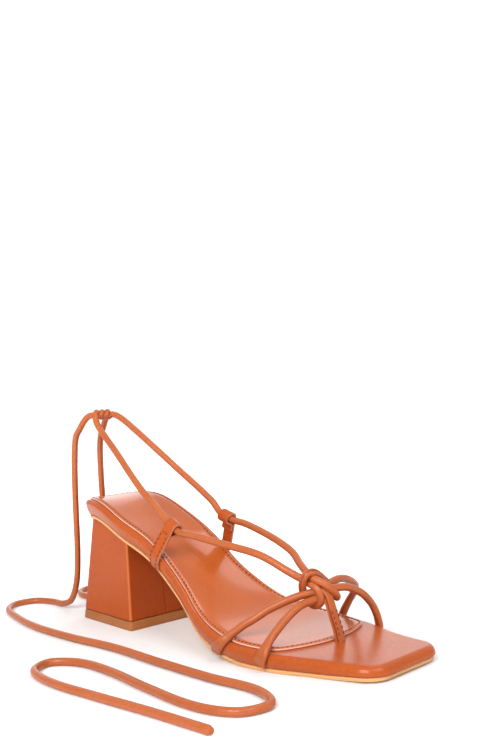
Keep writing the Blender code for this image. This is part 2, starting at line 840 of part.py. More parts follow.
def make_tie_end(name, loop, points):
    """Loose length of a tie, a plain cord along its route."""
    leaving = tie_route(loop)
    direction = (leaving[-1] - leaving[-2]).normalized()
    lead = [leaving[-1] + direction * reach for reach in (GAP, GAP + TIE_LEAD)]
    route = smooth_route(lead + [Vector(point) for point in points], TIE_STEP)
    curve = bpy.data.curves.new(name, "CURVE")
    curve.dimensions = "3D"
    curve.bevel_depth = CORD_RADIUS * MILLIMETRE
    curve.bevel_resolution = 2
    curve.use_fill_caps = True
    spline = curve.splines.new("POLY")
    spline.points.add(len(route) - 1)
    for point, centre in zip(spline.points, route):
        point.co = (*place(*centre), 1.0)
    curve.materials.append(material(TAN_LEATHER))
    made = bpy.data.objects.new(name, curve)
    bpy.context.collection.objects.link(made)
    return made


def main():
    """Build every piece of the sandal."""
    for found in list(bpy.data.objects):
        bpy.data.objects.remove(found, do_unlink=True)
    make_outsole()
    make_footbed()
    make_sock_lining()
    make_heel_block()
    make_heel_top_lift()
    make_toe_straps()
    make_ankle_sling()
    for loop in SIDE_LOOPS:
        make_side_loop(loop)
    lateral, medial = SIDE_LOOPS
    make_tie_end("tie_end_lateral", medial, LATERAL_END)
    make_tie_end("tie_end_medial", lateral, MEDIAL_END)


main()
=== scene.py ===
"""Looks of an ankle wrap sandal for the right foot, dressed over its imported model.

Sizes are millimetres in the shoe's own tables: station runs forward from the back of the heel seat, across
is positive towards the medial side and height is measured from the floor. place() turns them into metres.
"""

import logging
import math
from dataclasses import astuple, dataclass, replace
from enum import Enum
from typing import Any, Callable, Sequence

import bpy
import numpy as np
from mathutils import Matrix, Vector

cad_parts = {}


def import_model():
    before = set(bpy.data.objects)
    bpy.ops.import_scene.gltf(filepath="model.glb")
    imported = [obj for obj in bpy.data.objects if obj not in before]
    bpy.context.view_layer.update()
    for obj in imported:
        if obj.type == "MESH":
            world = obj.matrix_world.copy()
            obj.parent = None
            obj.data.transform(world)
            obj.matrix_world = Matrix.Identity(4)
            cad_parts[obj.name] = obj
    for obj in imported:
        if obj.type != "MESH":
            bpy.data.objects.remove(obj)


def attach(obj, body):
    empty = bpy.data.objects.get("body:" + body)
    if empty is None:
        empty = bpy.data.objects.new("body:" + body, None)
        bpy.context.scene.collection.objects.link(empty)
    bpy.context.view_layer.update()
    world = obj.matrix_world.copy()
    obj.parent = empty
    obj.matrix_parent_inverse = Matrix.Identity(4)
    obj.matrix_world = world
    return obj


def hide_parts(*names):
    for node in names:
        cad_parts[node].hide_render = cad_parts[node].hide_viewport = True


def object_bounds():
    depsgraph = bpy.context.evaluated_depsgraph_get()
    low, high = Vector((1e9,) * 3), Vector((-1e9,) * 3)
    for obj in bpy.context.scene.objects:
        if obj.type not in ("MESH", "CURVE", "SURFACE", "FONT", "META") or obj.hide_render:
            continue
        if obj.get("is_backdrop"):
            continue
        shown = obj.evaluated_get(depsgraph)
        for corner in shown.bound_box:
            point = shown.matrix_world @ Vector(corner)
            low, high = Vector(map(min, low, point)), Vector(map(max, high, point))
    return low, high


LOG = logging.getLogger("sandal")
MILLIMETRE = 0.001
ORIGIN = np.array((109.0, 1.2, 0.0))
BODY = "root"
PATCHES = (0.3, 0.7)
FINE = 4.0

Colour = tuple[float, float, float]
Row = tuple[float, float, float]
Route = tuple[Row, ...]
Span = tuple[float, float]
Steps = tuple[Span, ...]
Piece = bpy.types.Object
Field = Callable[[np.ndarray, np.ndarray], np.ndarray]


class Side(Enum):
    """The two sides of the shoe, by the sign of across."""

    LATERAL = -1
    MEDIAL = 1


class Slot(Enum):
    """Material slots of the record."""

    LEATHER = "tan_leather"
    SOCK = "sock_leather"
    SOLE = "pale_sole"
    LIFT = "top_lift_rubber"


def place(points: Any) -> np.ndarray:
    """Turn points of the shoe's tables, in millimetres, into the frame, in metres."""
    return (np.asarray(points, float) - ORIGIN) * MILLIMETRE


def mix(start: Any, end: Any, share: Any) -> Any:
    """Return the value a share of the way from start to end."""
    return start + (end - start) * share


def ease(share: Any) -> np.ndarray:
    """Rise smoothly from 0 to 1 as share does."""
    held = np.clip(share, 0.0, 1.0)
    return held * held * (3.0 - 2.0 * held)


def unit(vectors: np.ndarray) -> np.ndarray:
    """Give vectors the length 1."""
    return vectors / np.linalg.norm(vectors, axis=-1, keepdims=True)


class Socket:
    """One output of a shader node; arithmetic on it adds Math nodes."""

    def __init__(self, graph: "Graph", link: bpy.types.NodeSocket) -> None:
        """Keep the output and the graph that it belongs to."""
        self.graph = graph
        self.link = link

    def _math(self, operation: str, first: Any, second: Any) -> "Socket":
        """Add one Math node."""
        return self.graph.node("ShaderNodeMath", {"operation": operation}, {0: first, 1: second})

    def __add__(self, other: Any) -> "Socket":
        """Sum."""
        return self._math("ADD", self, other)

    __radd__ = __add__

    def __sub__(self, other: Any) -> "Socket":
        """Difference."""
        return self._math("SUBTRACT", self, other)

    def __rsub__(self, other: Any) -> "Socket":
        """Difference from a number."""
        return self._math("SUBTRACT", other, self)

    def __mul__(self, other: Any) -> "Socket":
        """Product."""
        return self._math("MULTIPLY", self, other)

    def rise(self, low: float, high: float) -> "Socket":
        """Go smoothly from 0 at low to 1 at high."""
        return self.graph.node("ShaderNodeMapRange", {"interpolation_type": "SMOOTHSTEP"},
                               {"Value": self, "From Min": low, "From Max": high})


class Graph:
    """The nodes of a material or of the surroundings, round their one shader."""

    def __init__(self, owner: bpy.types.Material | bpy.types.World, shader: str = "Principled BSDF") -> None:
        """Open the node tree of a new material or of new surroundings.

        Args:
            owner: The material or the surroundings.
            shader: Name of its shader.
        """
        self.owner = owner
        owner.use_nodes = True
        self.tree = owner.node_tree
        self.shader = self.tree.nodes[shader]

    @staticmethod
    def material(name: str) -> "Graph":
        """Start a new material."""
        return Graph(bpy.data.materials.new(name))

    def feed(self, socket: bpy.types.NodeSocket, value: Any) -> None:
        """Link a Socket to an input, or set the input's value.

        Args:
            socket: The input.
            value: A Socket, or the value itself.
        """
        if isinstance(value, Socket):
            self.tree.links.new(value.link, socket)
        else:
            socket.default_value = value

    def node(self, kind: str, settings: dict | None = None, inputs: dict | None = None,
             output: int | str = 0) -> Socket:
        """Add a node.

        Args:
            kind: Blender's name of the node type.
            settings: Attributes of the node, set first.
            inputs: Values or Sockets for its inputs, by name or number.
            output: The output that is returned.

        Returns:
            The chosen output.
        """
        made = self.tree.nodes.new(kind)
        for key, value in (settings or {}).items():
            setattr(made, key, value)
        for key, value in (inputs or {}).items():
            self.feed(made.inputs[key], value)
        return Socket(self, made.outputs[output])

    def blend(self, first: Any, second: Any, share: Any) -> Socket:
        """Mix two colours."""
        shown = [(*value, 1.0) if isinstance(value, tuple) else value for value in (first, second)]
        return self.node("ShaderNodeMix", {"data_type": "RGBA"}, {0: share, 6: shown[0], 7: shown[1]}, 2)

    def vector(self, operation: str, *inputs: Any, output: str = "Vector") -> Socket:
        """Add one Vector Math node."""
        return self.node("ShaderNodeVectorMath", {"operation": operation}, dict(enumerate(inputs)), output)

    def place(self, scale: Row = (1.0, 1.0, 1.0)) -> Socket:
        """Object coordinates in millimetres, stretched by scale."""
        per_metre = tuple(value / MILLIMETRE for value in scale)
        return self.vector("MULTIPLY", self.node("ShaderNodeTexCoord", output="Object"), per_metre)

    def noise(self, where: Socket, size: float, detail: float = 3.0) -> Socket:
        """Cloudy noise whose patches are about size across."""
        return self.node("ShaderNodeTexNoise", {}, {"Vector": where, "Scale": 1.0 / size, "Detail": detail})

    def attribute(self, name: str) -> Socket:
        """A number stored on the mesh."""
        return self.node("ShaderNodeAttribute", {"attribute_name": name}, output="Fac")

    def bump(self, height: Socket, depth: float) -> None:
        """Give the surface a relief of a depth in millimetres."""
        normal = self.node("ShaderNodeBump", {}, {"Height": height, "Distance": depth * MILLIMETRE})
        self.feed(self.shader.inputs["Normal"], normal)

    def set(self, **inputs: Any) -> None:
        """Feed the Principled shader's inputs; an underscore stands for a space.

        Args:
            **inputs: Values or Sockets by the input's name.
        """
        for key, value in inputs.items():
            shown = (*value, 1.0) if isinstance(value, tuple) else value
            self.feed(self.shader.inputs[key.replace("_", " ")], shown)


@dataclass(frozen=True)
class Leather:
    """Smooth dyed leather: fine grain, soft mottle and a semi-gloss coat.

    Cloud and speck are the sizes of its pale patches and its deep flecks. Their shares say how much these
    show, and gloss and matt how much they lower and raise the roughness.
    """

    name: str
    colour: Colour
    deep: Colour
    pale: Colour
    roughness: float
    coat: float
    grain: float = 0.75
    relief: float = 0.012
    cloud: float = 26.0
    cloud_share: float = 0.35
    cloud_gloss: float = 0.03
    speck: float = 1.6
    speck_span: Span = (0.35, 0.75)
    speck_share: float = 0.22
    speck_matt: float = 0.05
    specular: float = 0.04
    coat_roughness: float = 0.22
    coat_ior: float = 1.5
    pebble_smooth: float = 0.6
    pebble_depth: float = 0.8
    pore_share: float = 0.3
    pore_depth: float = 0.35

    def marks_and_painted_light(self, graph: Graph, toned: Socket) -> Socket:
        """Colour with marks of making and any painted light; plain leather keeps its own."""
        return toned

    def matt(self, graph: Graph) -> Socket | float:
        """Roughness that making adds in places; plain leather has none."""
        return 0.0

    def height(self, graph: Graph) -> Socket:
        """Relief of the grain: small pebbles with fine pores between them.

        Args:
            graph: The material's nodes.

        Returns:
            Height as a share of the relief.
        """
        where = graph.place()
        pebble = graph.node("ShaderNodeTexVoronoi", {"feature": "SMOOTH_F1"},
                            {"Vector": where, "Scale": 1.0 / self.grain, "Smoothness": self.pebble_smooth})
        pore = graph.noise(where, self.grain * self.pore_share)
        return 1.0 - pebble * self.pebble_depth + pore * self.pore_depth

    def make(self) -> bpy.types.Material:
        """Make the material.

        Returns:
            The material.
        """
        graph = Graph.material(self.name)
        where = graph.place()
        cloud = graph.noise(where, self.cloud).rise(*PATCHES)
        speck = graph.noise(where, self.speck, FINE).rise(*self.speck_span)
        toned = graph.blend(self.colour, self.pale, cloud * self.cloud_share)
        toned = graph.blend(toned, self.deep, speck * self.speck_share)
        rough = self.roughness + speck * self.speck_matt - cloud * self.cloud_gloss + self.matt(graph)
        graph.set(Base_Color=self.marks_and_painted_light(graph, toned), Roughness=rough, Specular_IOR_Level=self.specular)
        graph.set(Coat_Weight=self.coat, Coat_Roughness=self.coat_roughness, Coat_IOR=self.coat_ior)
        graph.bump(self.height(graph), self.relief)
        return graph.owner


@dataclass(frozen=True)
class HeelLeather(Leather):
    """Leather of the heel: painted shade on the breast, dark in its seam and a painted highlight down the
    front corners.

    The heel's mesh marks these places as breast, seam and corner.
    """

    # Colour of the painted highlight down the front corners.
    painted_highlight: Colour = (0.60, 0.19, 0.07)
    groove: Colour = (0.10, 0.016, 0.003)
    # Strength of the painted shade on the breast.
    breast_shade_share: float = 0.42
    painted_highlight_share: float = 0.55
    groove_share: float = 0.8

    def marks_and_painted_light(self, graph: Graph, toned: Socket) -> Socket:
        """Colour with painted shade on the breast, the dark seam and a painted highlight down the front
        corners.

        Args:
            graph: The material's nodes.
            toned: Colour of the leather itself.

        Returns:
            The colour.
        """
        # Painted shade: the breast under the seat is darkened towards the deep colour.
        deeper = graph.blend(toned, self.deep, graph.attribute("breast") * self.breast_shade_share)
        sewn = graph.blend(deeper, self.groove, graph.attribute("seam") * self.groove_share)
        # Painted highlight: a pale line down each front corner of the heel.
        return graph.blend(sewn, self.painted_highlight, graph.attribute("corner") * self.painted_highlight_share)


@dataclass(frozen=True)
class SockLeather(Leather):
    """Leather of the sock, with a pale cut edge over a dark band, partly glue joint and partly painted
    shadow, that its mesh marks as the ring number.
    """

    cloud: float = 30.0
    cloud_share: float = 0.3
    cloud_gloss: float = 0.0
    speck: float = 1.3
    speck_share: float = 0.18
    speck_matt: float = 0.04
    specular: float = 0.08
    coat_roughness: float = 0.13
    edge: Colour = (0.80, 0.50, 0.38)
    edge_matt: float = 0.3
    edge_rings: Span = (1.6, 2.2)
    shadow_and_joint_rings: Span = (0.3, 0.6)

    def below(self, graph: Graph, rings: Span) -> Socket:
        """1 under the first of two rings, fading to 0 at the second."""
        return 1.0 - graph.attribute("ring").rise(*rings)

    def marks_and_painted_light(self, graph: Graph, toned: Socket) -> Socket:
        """Colour with the cut edge and the dark band under it: glue joint and painted shadow."""
        # The dark band at the foot of the cut edge is partly a glue joint and partly painted shadow.
        rim = graph.blend(self.edge, self.deep, self.below(graph, self.shadow_and_joint_rings))
        return graph.blend(toned, rim, self.below(graph, self.edge_rings))

    def matt(self, graph: Graph) -> Socket:
        """Roughness of the cut edge."""
        return self.below(graph, self.edge_rings) * self.edge_matt


@dataclass(frozen=True)
class CordLeather(Leather):
    """Leather rolled into a cord: fine cross creases, and a seam along the cord's underside.

    The cord's UV map runs along it in its first number and round it in its second.
    """

    cloud: float = 18.0
    cloud_gloss: float = 0.0
    speck: float = 1.1
    speck_span: Span = (0.4, 0.75)
    speck_share: float = 0.2
    coat_roughness: float = 0.24
    seam_reach: float = 0.55
    seam_share: float = 0.8
    seam_matt: float = 0.15
    crease: float = 0.9
    crease_detail: float = 2.0
    crease_span: Span = (0.35, 0.6)
    crease_depth: float = 0.9
    crease_stretch: Row = (1.0, 1.5, 1.0)

    def seam(self, graph: Graph) -> Socket:
        """How near the seam is."""
        return 1.0 - graph.attribute("seam").rise(0.0, self.seam_reach)

    def marks_and_painted_light(self, graph: Graph, toned: Socket) -> Socket:
        """Colour, deeper in the seam."""
        return graph.blend(toned, self.deep, self.seam(graph) * self.seam_share)

    def matt(self, graph: Graph) -> Socket:
        """Roughness of the seam."""
        return self.seam(graph) * self.seam_matt

    def height(self, graph: Graph) -> Socket:
        """Relief of the grain and the cross creases.

        Args:
            graph: The material's nodes.

        Returns:
            Height as a share of the relief.
        """
        rolled_out = graph.node("ShaderNodeUVMap", {"uv_map": "UVMap"})
        around = graph.vector("MULTIPLY", rolled_out, self.crease_stretch)
        crease = graph.noise(around, self.crease, self.crease_detail).rise(*self.crease_span)
        return super().height(graph) + crease * self.crease_depth


@dataclass(frozen=True)
class Sheeting:
    """Sole material in plain colour with faint streaks along its layers."""

    name: str
    colour: Colour
    streak: Colour
    roughness: float
    layer: float
    relief: float = 0.03
    stretch: Row = (0.05, 0.05, 1.0)
    streak_span: Span = (0.35, 0.7)
    streak_share: float = 0.6
    speck: float = 0.8
    speck_share: float = 0.15
    speck_matt: float = 0.1

    def make(self) -> bpy.types.Material:
        """Make the material.

        Returns:
            The material.
        """
        graph = Graph.material(self.name)
        streaks = graph.noise(graph.place(self.stretch), self.layer, FINE).rise(*self.streak_span)
        speck = graph.noise(graph.place(), self.speck, FINE)
        shown = streaks * self.streak_share + speck * self.speck_share
        graph.set(Base_Color=graph.blend(self.colour, self.streak, shown))
        graph.set(Roughness=self.roughness + speck * self.speck_matt)
        graph.bump((streaks + speck) * self.streak_share, self.relief)
        return graph.owner


@dataclass(frozen=True)
class CutEdge:
    """Raw cut edge of leather: pale, matt and fibrous."""

    name: str
    colour: Colour
    fibre: Colour
    fibre_size: float = 0.35
    fibre_matt: float = 0.1
    roughness: float = 0.75
    relief: float = 0.04

    def make(self) -> bpy.types.Material:
        """Make the material.

        Returns:
            The material.
        """
        graph = Graph.material(self.name)
        fibres = graph.noise(graph.place(), self.fibre_size, FINE).rise(*PATCHES)
        graph.set(Base_Color=graph.blend(self.colour, self.fibre, fibres))
        graph.set(Roughness=self.roughness + fibres * self.fibre_matt)
        graph.bump(fibres, self.relief)
        return graph.owner


@dataclass(frozen=True)
class Thread:
    """Twisted sewing thread."""

    name: str
    colour: Colour
    shade: Colour
    stretch: Row = (1.0, 1.0, 1.6)
    twists: float = 2.4
    unevenness: float = 0.6
    twist_matt: float = 0.15
    roughness: float = 0.7
    specular: float = 0.1
    relief: float = 0.05

    def make(self) -> bpy.types.Material:
        """Make the material.

        Returns:
            The material.
        """
        graph = Graph.material(self.name)
        twist = graph.node("ShaderNodeTexWave", {"bands_direction": "DIAGONAL"},
                           {"Vector": graph.place(self.stretch), "Scale": self.twists,
                            "Distortion": self.unevenness})
        graph.set(Base_Color=graph.blend(self.shade, self.colour, twist), Specular_IOR_Level=self.specular)
        graph.set(Roughness=self.roughness + twist * self.twist_matt)
        graph.bump(twist, self.relief)
        return graph.owner


TAN: Colour = (0.42, 0.083, 0.016)
HEEL_TAN: Colour = (0.42, 0.073, 0.011)
TAN_DEEP: Colour = (0.25, 0.035, 0.004)
TAN_PALE: Colour = (0.48, 0.092, 0.016)
WRAP = Leather("tan_leather", TAN, TAN_DEEP, TAN_PALE, roughness=0.42, coat=0.45)
HEEL_WRAP = HeelLeather("heel_leather", HEEL_TAN, TAN_DEEP, TAN_PALE, roughness=0.48, coat=0.14)
CORD = CordLeather("rolled_tan_leather", (0.425, 0.106, 0.032), TAN_DEEP, (0.48, 0.134, 0.045),
                   roughness=0.40, coat=0.45, grain=0.6, relief=0.015)
SOCK = SockLeather("sock_leather", (0.50, 0.106, 0.020), (0.32, 0.052, 0.007), (0.56, 0.130, 0.028),
                   roughness=0.34, coat=0.5, relief=0.005)
RAW_EDGE = CutEdge("raw_leather_edge", (0.60, 0.26, 0.14), (0.45, 0.15, 0.06))
PALE_SOLE = Sheeting("pale_sole_sheet", (0.70, 0.37, 0.15), (0.60, 0.28, 0.09), roughness=0.55, layer=0.7)
TOP_LIFT = Sheeting("top_lift_rubber", (0.40, 0.14, 0.034), (0.30, 0.09, 0.018), roughness=0.6, layer=1.1)
TAN_THREAD = Thread("tan_thread", (0.30, 0.055, 0.012), (0.13, 0.02, 0.005))


class Bench:
    """Modelling steps, done with Blender's own operators."""

    SMOOTH = math.radians(38.0)
    WELD = 1e-6

    @staticmethod
    def free() -> None:
        """Leave edit mode and deselect everything."""
        if bpy.context.object and bpy.context.object.mode != "OBJECT":
            bpy.ops.object.mode_set(mode="OBJECT")
        bpy.ops.object.select_all(action="DESELECT")

    @staticmethod
    def choose(piece: Piece) -> None:
        """Select one piece alone.

        Args:
            piece: The piece.
        """
        Bench.free()
        piece.select_set(True)
        bpy.context.view_layer.objects.active = piece

    @staticmethod
    def edit(piece: Piece) -> None:
        """Open one piece in edit mode with all of it selected.

        Args:
            piece: The piece.
        """
        Bench.choose(piece)
        bpy.ops.object.mode_set(mode="EDIT")
        bpy.ops.mesh.select_mode(type="FACE")
        bpy.ops.mesh.select_all(action="SELECT")

    @staticmethod
    def grid(name: str, rows: int, columns: int) -> Piece:
        """Add a grid whose points know their row and column.

        Args:
            name: Name of the piece.
            rows: Faces along it.
            columns: Faces across it.

        Returns:
            The grid, one unit square.
        """
        Bench.free()
        bpy.ops.mesh.primitive_grid_add(x_subdivisions=rows, y_subdivisions=columns, size=1.0)
        piece = bpy.context.object
        piece.name = name
        piece.data.name = name
        shares = Bench.points(piece) + 0.5
        for label, axis, count in (("row", 0, rows), ("column", 1, columns)):
            numbers = np.rint(shares[:, axis] * count).astype(np.int32)
            piece.data.attributes.new(label, "INT", "POINT").data.foreach_set("value", numbers)
        return piece

    @staticmethod
    def points(piece: Piece) -> np.ndarray:
        """Places of a piece's points.

        Args:
            piece: The piece.

        Returns:
            Places in metres, (points, 3).
        """
        flat = np.empty(len(piece.data.vertices) * 3)
        piece.data.vertices.foreach_get("co", flat)
        return flat.reshape(-1, 3)

    @staticmethod
    def numbers(piece: Piece, label: str, kind: type = np.int32) -> np.ndarray:
        """Numbers of a kind stored on a piece's points.

        Args:
            piece: The piece.
            label: Name of the numbers.
            kind: Their number type.

        Returns:
            One number for each point.
        """
        found = np.empty(len(piece.data.vertices), kind)
        piece.data.attributes[label].data.foreach_get("value", found)
        return found

    @staticmethod
    def mark(piece: Piece, label: str, values: np.ndarray) -> None:
        """Store a number on each of a piece's points."""
        layer = piece.data.attributes.get(label) or piece.data.attributes.new(label, "FLOAT", "POINT")
        layer.data.foreach_set("value", np.asarray(values, np.float32))

    @staticmethod
    def move(piece: Piece, places: Field, chosen: np.ndarray | None = None) -> None:
        """Move a grid's points, or the chosen ones, to places(row, column) in millimetres.

        Args:
            piece: A grid, or a solid made from one.
            places: Places in millimetres, by row and column.
            chosen: Which points move; all of them where it is left out.
        """
        co = Bench.points(piece)
        held = np.ones(len(co), bool) if chosen is None else chosen
        co[held] = place(places(Bench.numbers(piece, "row")[held], Bench.numbers(piece, "column")[held]))
        piece.data.vertices.foreach_set("co", co.ravel())
        piece.data.update()

    @staticmethod
    def stack(name: str, rows: int, columns: int, levels: Sequence[Field]) -> Piece:
        """Extrude a grid level by level into a closed solid.

        Args:
            name: Name of the piece.
            rows: Faces along each level.
            columns: Faces across each level.
            levels: Places of each level's points, from the lowest up and then inwards.

        Returns:
            The piece; its points know the number of their level as "ring".
        """
        piece = Bench.grid(name, rows, columns)
        Bench.move(piece, levels[0])
        Bench.mark(piece, "ring", np.zeros(len(piece.data.vertices)))
        Bench.edit(piece)
        for number, level in enumerate(levels[1:], 1):
            bpy.ops.object.mode_set(mode="EDIT")
            bpy.ops.mesh.extrude_region_move()
            bpy.ops.object.mode_set(mode="OBJECT")
            chosen = np.empty(len(piece.data.vertices), bool)
            piece.data.vertices.foreach_get("select", chosen)
            Bench.move(piece, level, chosen)
            Bench.mark(piece, "ring", np.where(chosen, number, Bench.numbers(piece, "ring", np.float32)))
        return Bench.smooth(piece)

    @staticmethod
    def tube(name: str, rings: np.ndarray) -> Piece:
        """Roll a grid into a closed tube.

        Args:
            name: Name of the piece.
            rings: Places of its rings' points in millimetres, (rings, points of a ring, 3).

        Returns:
            The piece; its UV map runs along it in millimetres and once round it.
        """
        count, sides, _ = rings.shape
        piece = Bench.grid(name, count - 1, sides)
        Bench.move(piece, lambda row, column: rings[row, column % sides])
        length = np.linalg.norm(np.diff(rings.mean(1), axis=0), axis=1).sum()
        layer = piece.data.uv_layers[0].data
        uv = np.empty(len(layer) * 2)
        layer.foreach_get("uv", uv)
        uv[0::2] *= length
        layer.foreach_set("uv", uv)
        Bench.edit(piece)
        bpy.ops.mesh.remove_doubles(threshold=Bench.WELD)
        bpy.ops.mesh.fill_holes(sides=0)
        return Bench.smooth(piece)

    @staticmethod
    def smooth(piece: Piece) -> Piece:
        """Turn the faces outwards and shade the piece smooth, apart from its sharp edges.

        Args:
            piece: The piece.

        Returns:
            The same piece.
        """
        Bench.edit(piece)
        bpy.ops.mesh.normals_make_consistent(inside=False)
        Bench.choose(piece)
        bpy.ops.object.shade_smooth_by_angle(angle=Bench.SMOOTH)
        return piece

    @staticmethod
    def finish(piece: Piece, kind: str, **settings: Any) -> None:
        """Add a modifier to a piece and apply it.

        Args:
            piece: The piece.
            kind: Blender's name of the modifier type.
            **settings: Values of the modifier.
        """
        Bench.choose(piece)
        modifier = piece.modifiers.new(kind.title(), kind)
        for key, value in settings.items():
            setattr(modifier, key, value)
        bpy.ops.object.modifier_apply(modifier=modifier.name)


class Wardrobe:
    """Makes each finish once and hands its material out."""

    def __init__(self) -> None:
        """Start with no materials."""
        self.made: dict[str, bpy.types.Material] = {}

    def material(self, finish: Any) -> bpy.types.Material:
        """Return a finish's material.

        Args:
            finish: The finish.

        Returns:
            Its material, made when first asked for.
        """
        if finish.name not in self.made:
            self.made[finish.name] = finish.make()
        return self.made[finish.name]

    def hang(self, piece: Piece, finishes: Sequence[Any]) -> None:
        """Give a piece the finishes that it doesn't have yet, in order."""
        for finish in finishes[len(piece.data.materials):]:
            piece.data.materials.append(self.material(finish))

    def dress(self, piece: Piece, slot: Slot, finishes: Sequence[Any], *nodes: str) -> None:
        """Give a piece its finishes and fix it to the shoe.

        Args:
            piece: The finished piece.
            slot: The record's slot that its main finish belongs to.
            finishes: The piece's finishes, in the order of its material numbers.
            nodes: CAD nodes that it stands for.
        """
        self.hang(piece, finishes)
        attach(piece, BODY)
        if nodes:
            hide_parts(*nodes)
        LOG.info("%s: %d faces, %s", piece.name, len(piece.data.polygons), slot.value)


@dataclass(frozen=True)
class Section:
    """Half-widths, height of the upper edge and hollow of the foot's surface at a station."""

    station: float
    lateral: float
    medial: float
    height: float
    dish: float


@dataclass(frozen=True)
class Last:
    """The form that the sole is built on."""

    length: float = 227.8
    heel_corner: float = 12.5
    toe_corner: float = 9.7
    toe_slant: float = -0.046
    toe_slant_from: float = 185.0
    toe_spring: float = 0.95
    toe_spring_from: float = 198.0
    wall_at_heel: float = 11.6
    wall_at_toe: float = 7.8
    outsole_at_heel: float = 1.6
    outsole_at_toe: float = 1.8
    lean_at_heel: float = 2.4
    lean_at_toe: float = 0.85
    edge_roll: float = 2.6
    edge_roll_at_toe: float = 3.6
    sections: tuple[Section, ...] = (
        Section(0.0, 16.6, 22.0, 70.6, 1.0),
        Section(25.0, 22.9, 27.2, 69.4, 1.6),
        Section(50.0, 25.4, 27.5, 60.2, 1.8),
        Section(75.0, 24.4, 25.0, 49.0, 2.0),
        Section(100.0, 26.2, 24.2, 32.0, 2.0),
        Section(125.0, 33.0, 30.8, 16.6, 1.4),
        Section(150.0, 37.2, 38.2, 10.2, 0.8),
        Section(175.0, 36.5, 36.4, 8.6, 0.4),
        Section(200.0, 30.0, 29.2, 7.8, 0.2),
        Section(228.0, 23.0, 26.0, 7.3, 0.0),
    )

    def column(self, name: str, station: Any) -> np.ndarray:
        """Read one column of the sections at any stations, on a smooth curve through the rows.

        Args:
            name: Name of the column.
            station: Stations along the foot.

        Returns:
            The column's values there.
        """
        at = np.asarray(station, float)
        stations = np.array([row.station for row in self.sections])
        values = np.array([getattr(row, name) for row in self.sections])
        last = len(stations) - 1
        before, after = np.maximum(np.arange(last + 1) - 1, 0), np.minimum(np.arange(last + 1) + 1, last)
        slopes = (values[after] - values[before]) / (stations[after] - stations[before])
        low = np.clip(np.searchsorted(stations, at) - 1, 0, last - 1)
        span = stations[low + 1] - stations[low]
        share = (at - stations[low]) / span
        back = 1.0 - share
        bend_out = values[low] + slopes[low] * span / 3.0
        bend_in = values[low + 1] - slopes[low + 1] * span / 3.0
        middle = 3.0 * back * share * (bend_out * back + bend_in * share)
        return values[low] * back**3 + middle + values[low + 1] * share**3

    def half_width(self, across: Any, station: Any) -> np.ndarray:
        """Half-width of the sole on the side that across lies on."""
        lateral, medial = self.column("lateral", station), self.column("medial", station)
        return np.where(np.asarray(across) < 0, lateral, medial)

    def share(self, station: Any) -> np.ndarray:
        """How far along the sole a station lies."""
        return np.asarray(station, float) / self.length

    def toe_share(self, station: Any, start: float) -> np.ndarray:
        """How far a station lies from a start towards the toe, rising smoothly."""
        return ease((np.asarray(station, float) - start) / (self.length - start))

    def upper_edge(self, station: Any) -> np.ndarray:
        """Height of the wall's upper edge."""
        return self.column("height", station)

    def roll(self, station: Any) -> np.ndarray:
        """Radius of the rolled upper edge, fuller at the toe."""
        return mix(self.edge_roll, self.edge_roll_at_toe, self.toe_share(station, self.toe_slant_from))

    def underside(self, station: Any) -> np.ndarray:
        """Height of the outsole's lower face, with a little toe spring.

        Args:
            station: Stations along the foot.

        Returns:
            Heights.
        """
        wall = mix(self.wall_at_heel, self.wall_at_toe, self.share(station))
        spring = self.toe_spring * self.toe_share(station, self.toe_spring_from)
        return np.maximum(self.upper_edge(station) - wall, 0.0) + spring

    def outsole_top(self, station: Any) -> np.ndarray:
        """Height of the joint between outsole and footbed."""
        return self.underside(station) + mix(self.outsole_at_heel, self.outsole_at_toe, self.share(station))

    def lean(self, station: Any) -> np.ndarray:
        """How far the wall draws in from its upper edge to the outsole."""
        return mix(self.lean_at_heel, self.lean_at_toe, self.share(station))

    def wall_draw(self, station: Any, height: Any) -> np.ndarray:
        """How far the wall lies inside its upper edge at a height.

        Args:
            station: Stations along the foot.
            height: Heights on the wall there.

        Returns:
            Distances inward.
        """
        foot = self.outsole_top(station)
        climb = (height - foot) / (self.upper_edge(station) - self.roll(station) - foot)
        return self.lean(station) * np.clip(1.0 - climb, 0.0, 1.0)

    def surface(self, station: Any, across: Any) -> np.ndarray:
        """Height of the footbed's hollowed upper face."""
        reach = across / self.half_width(across, station)
        return self.upper_edge(station) - self.column("dish", station) * (1.0 - reach * reach)

    def toe_shift(self, station: Any, across: Any) -> np.ndarray:
        """Slant of the square toe's front edge."""
        return self.toe_slant * across * self.toe_share(station, self.toe_slant_from)


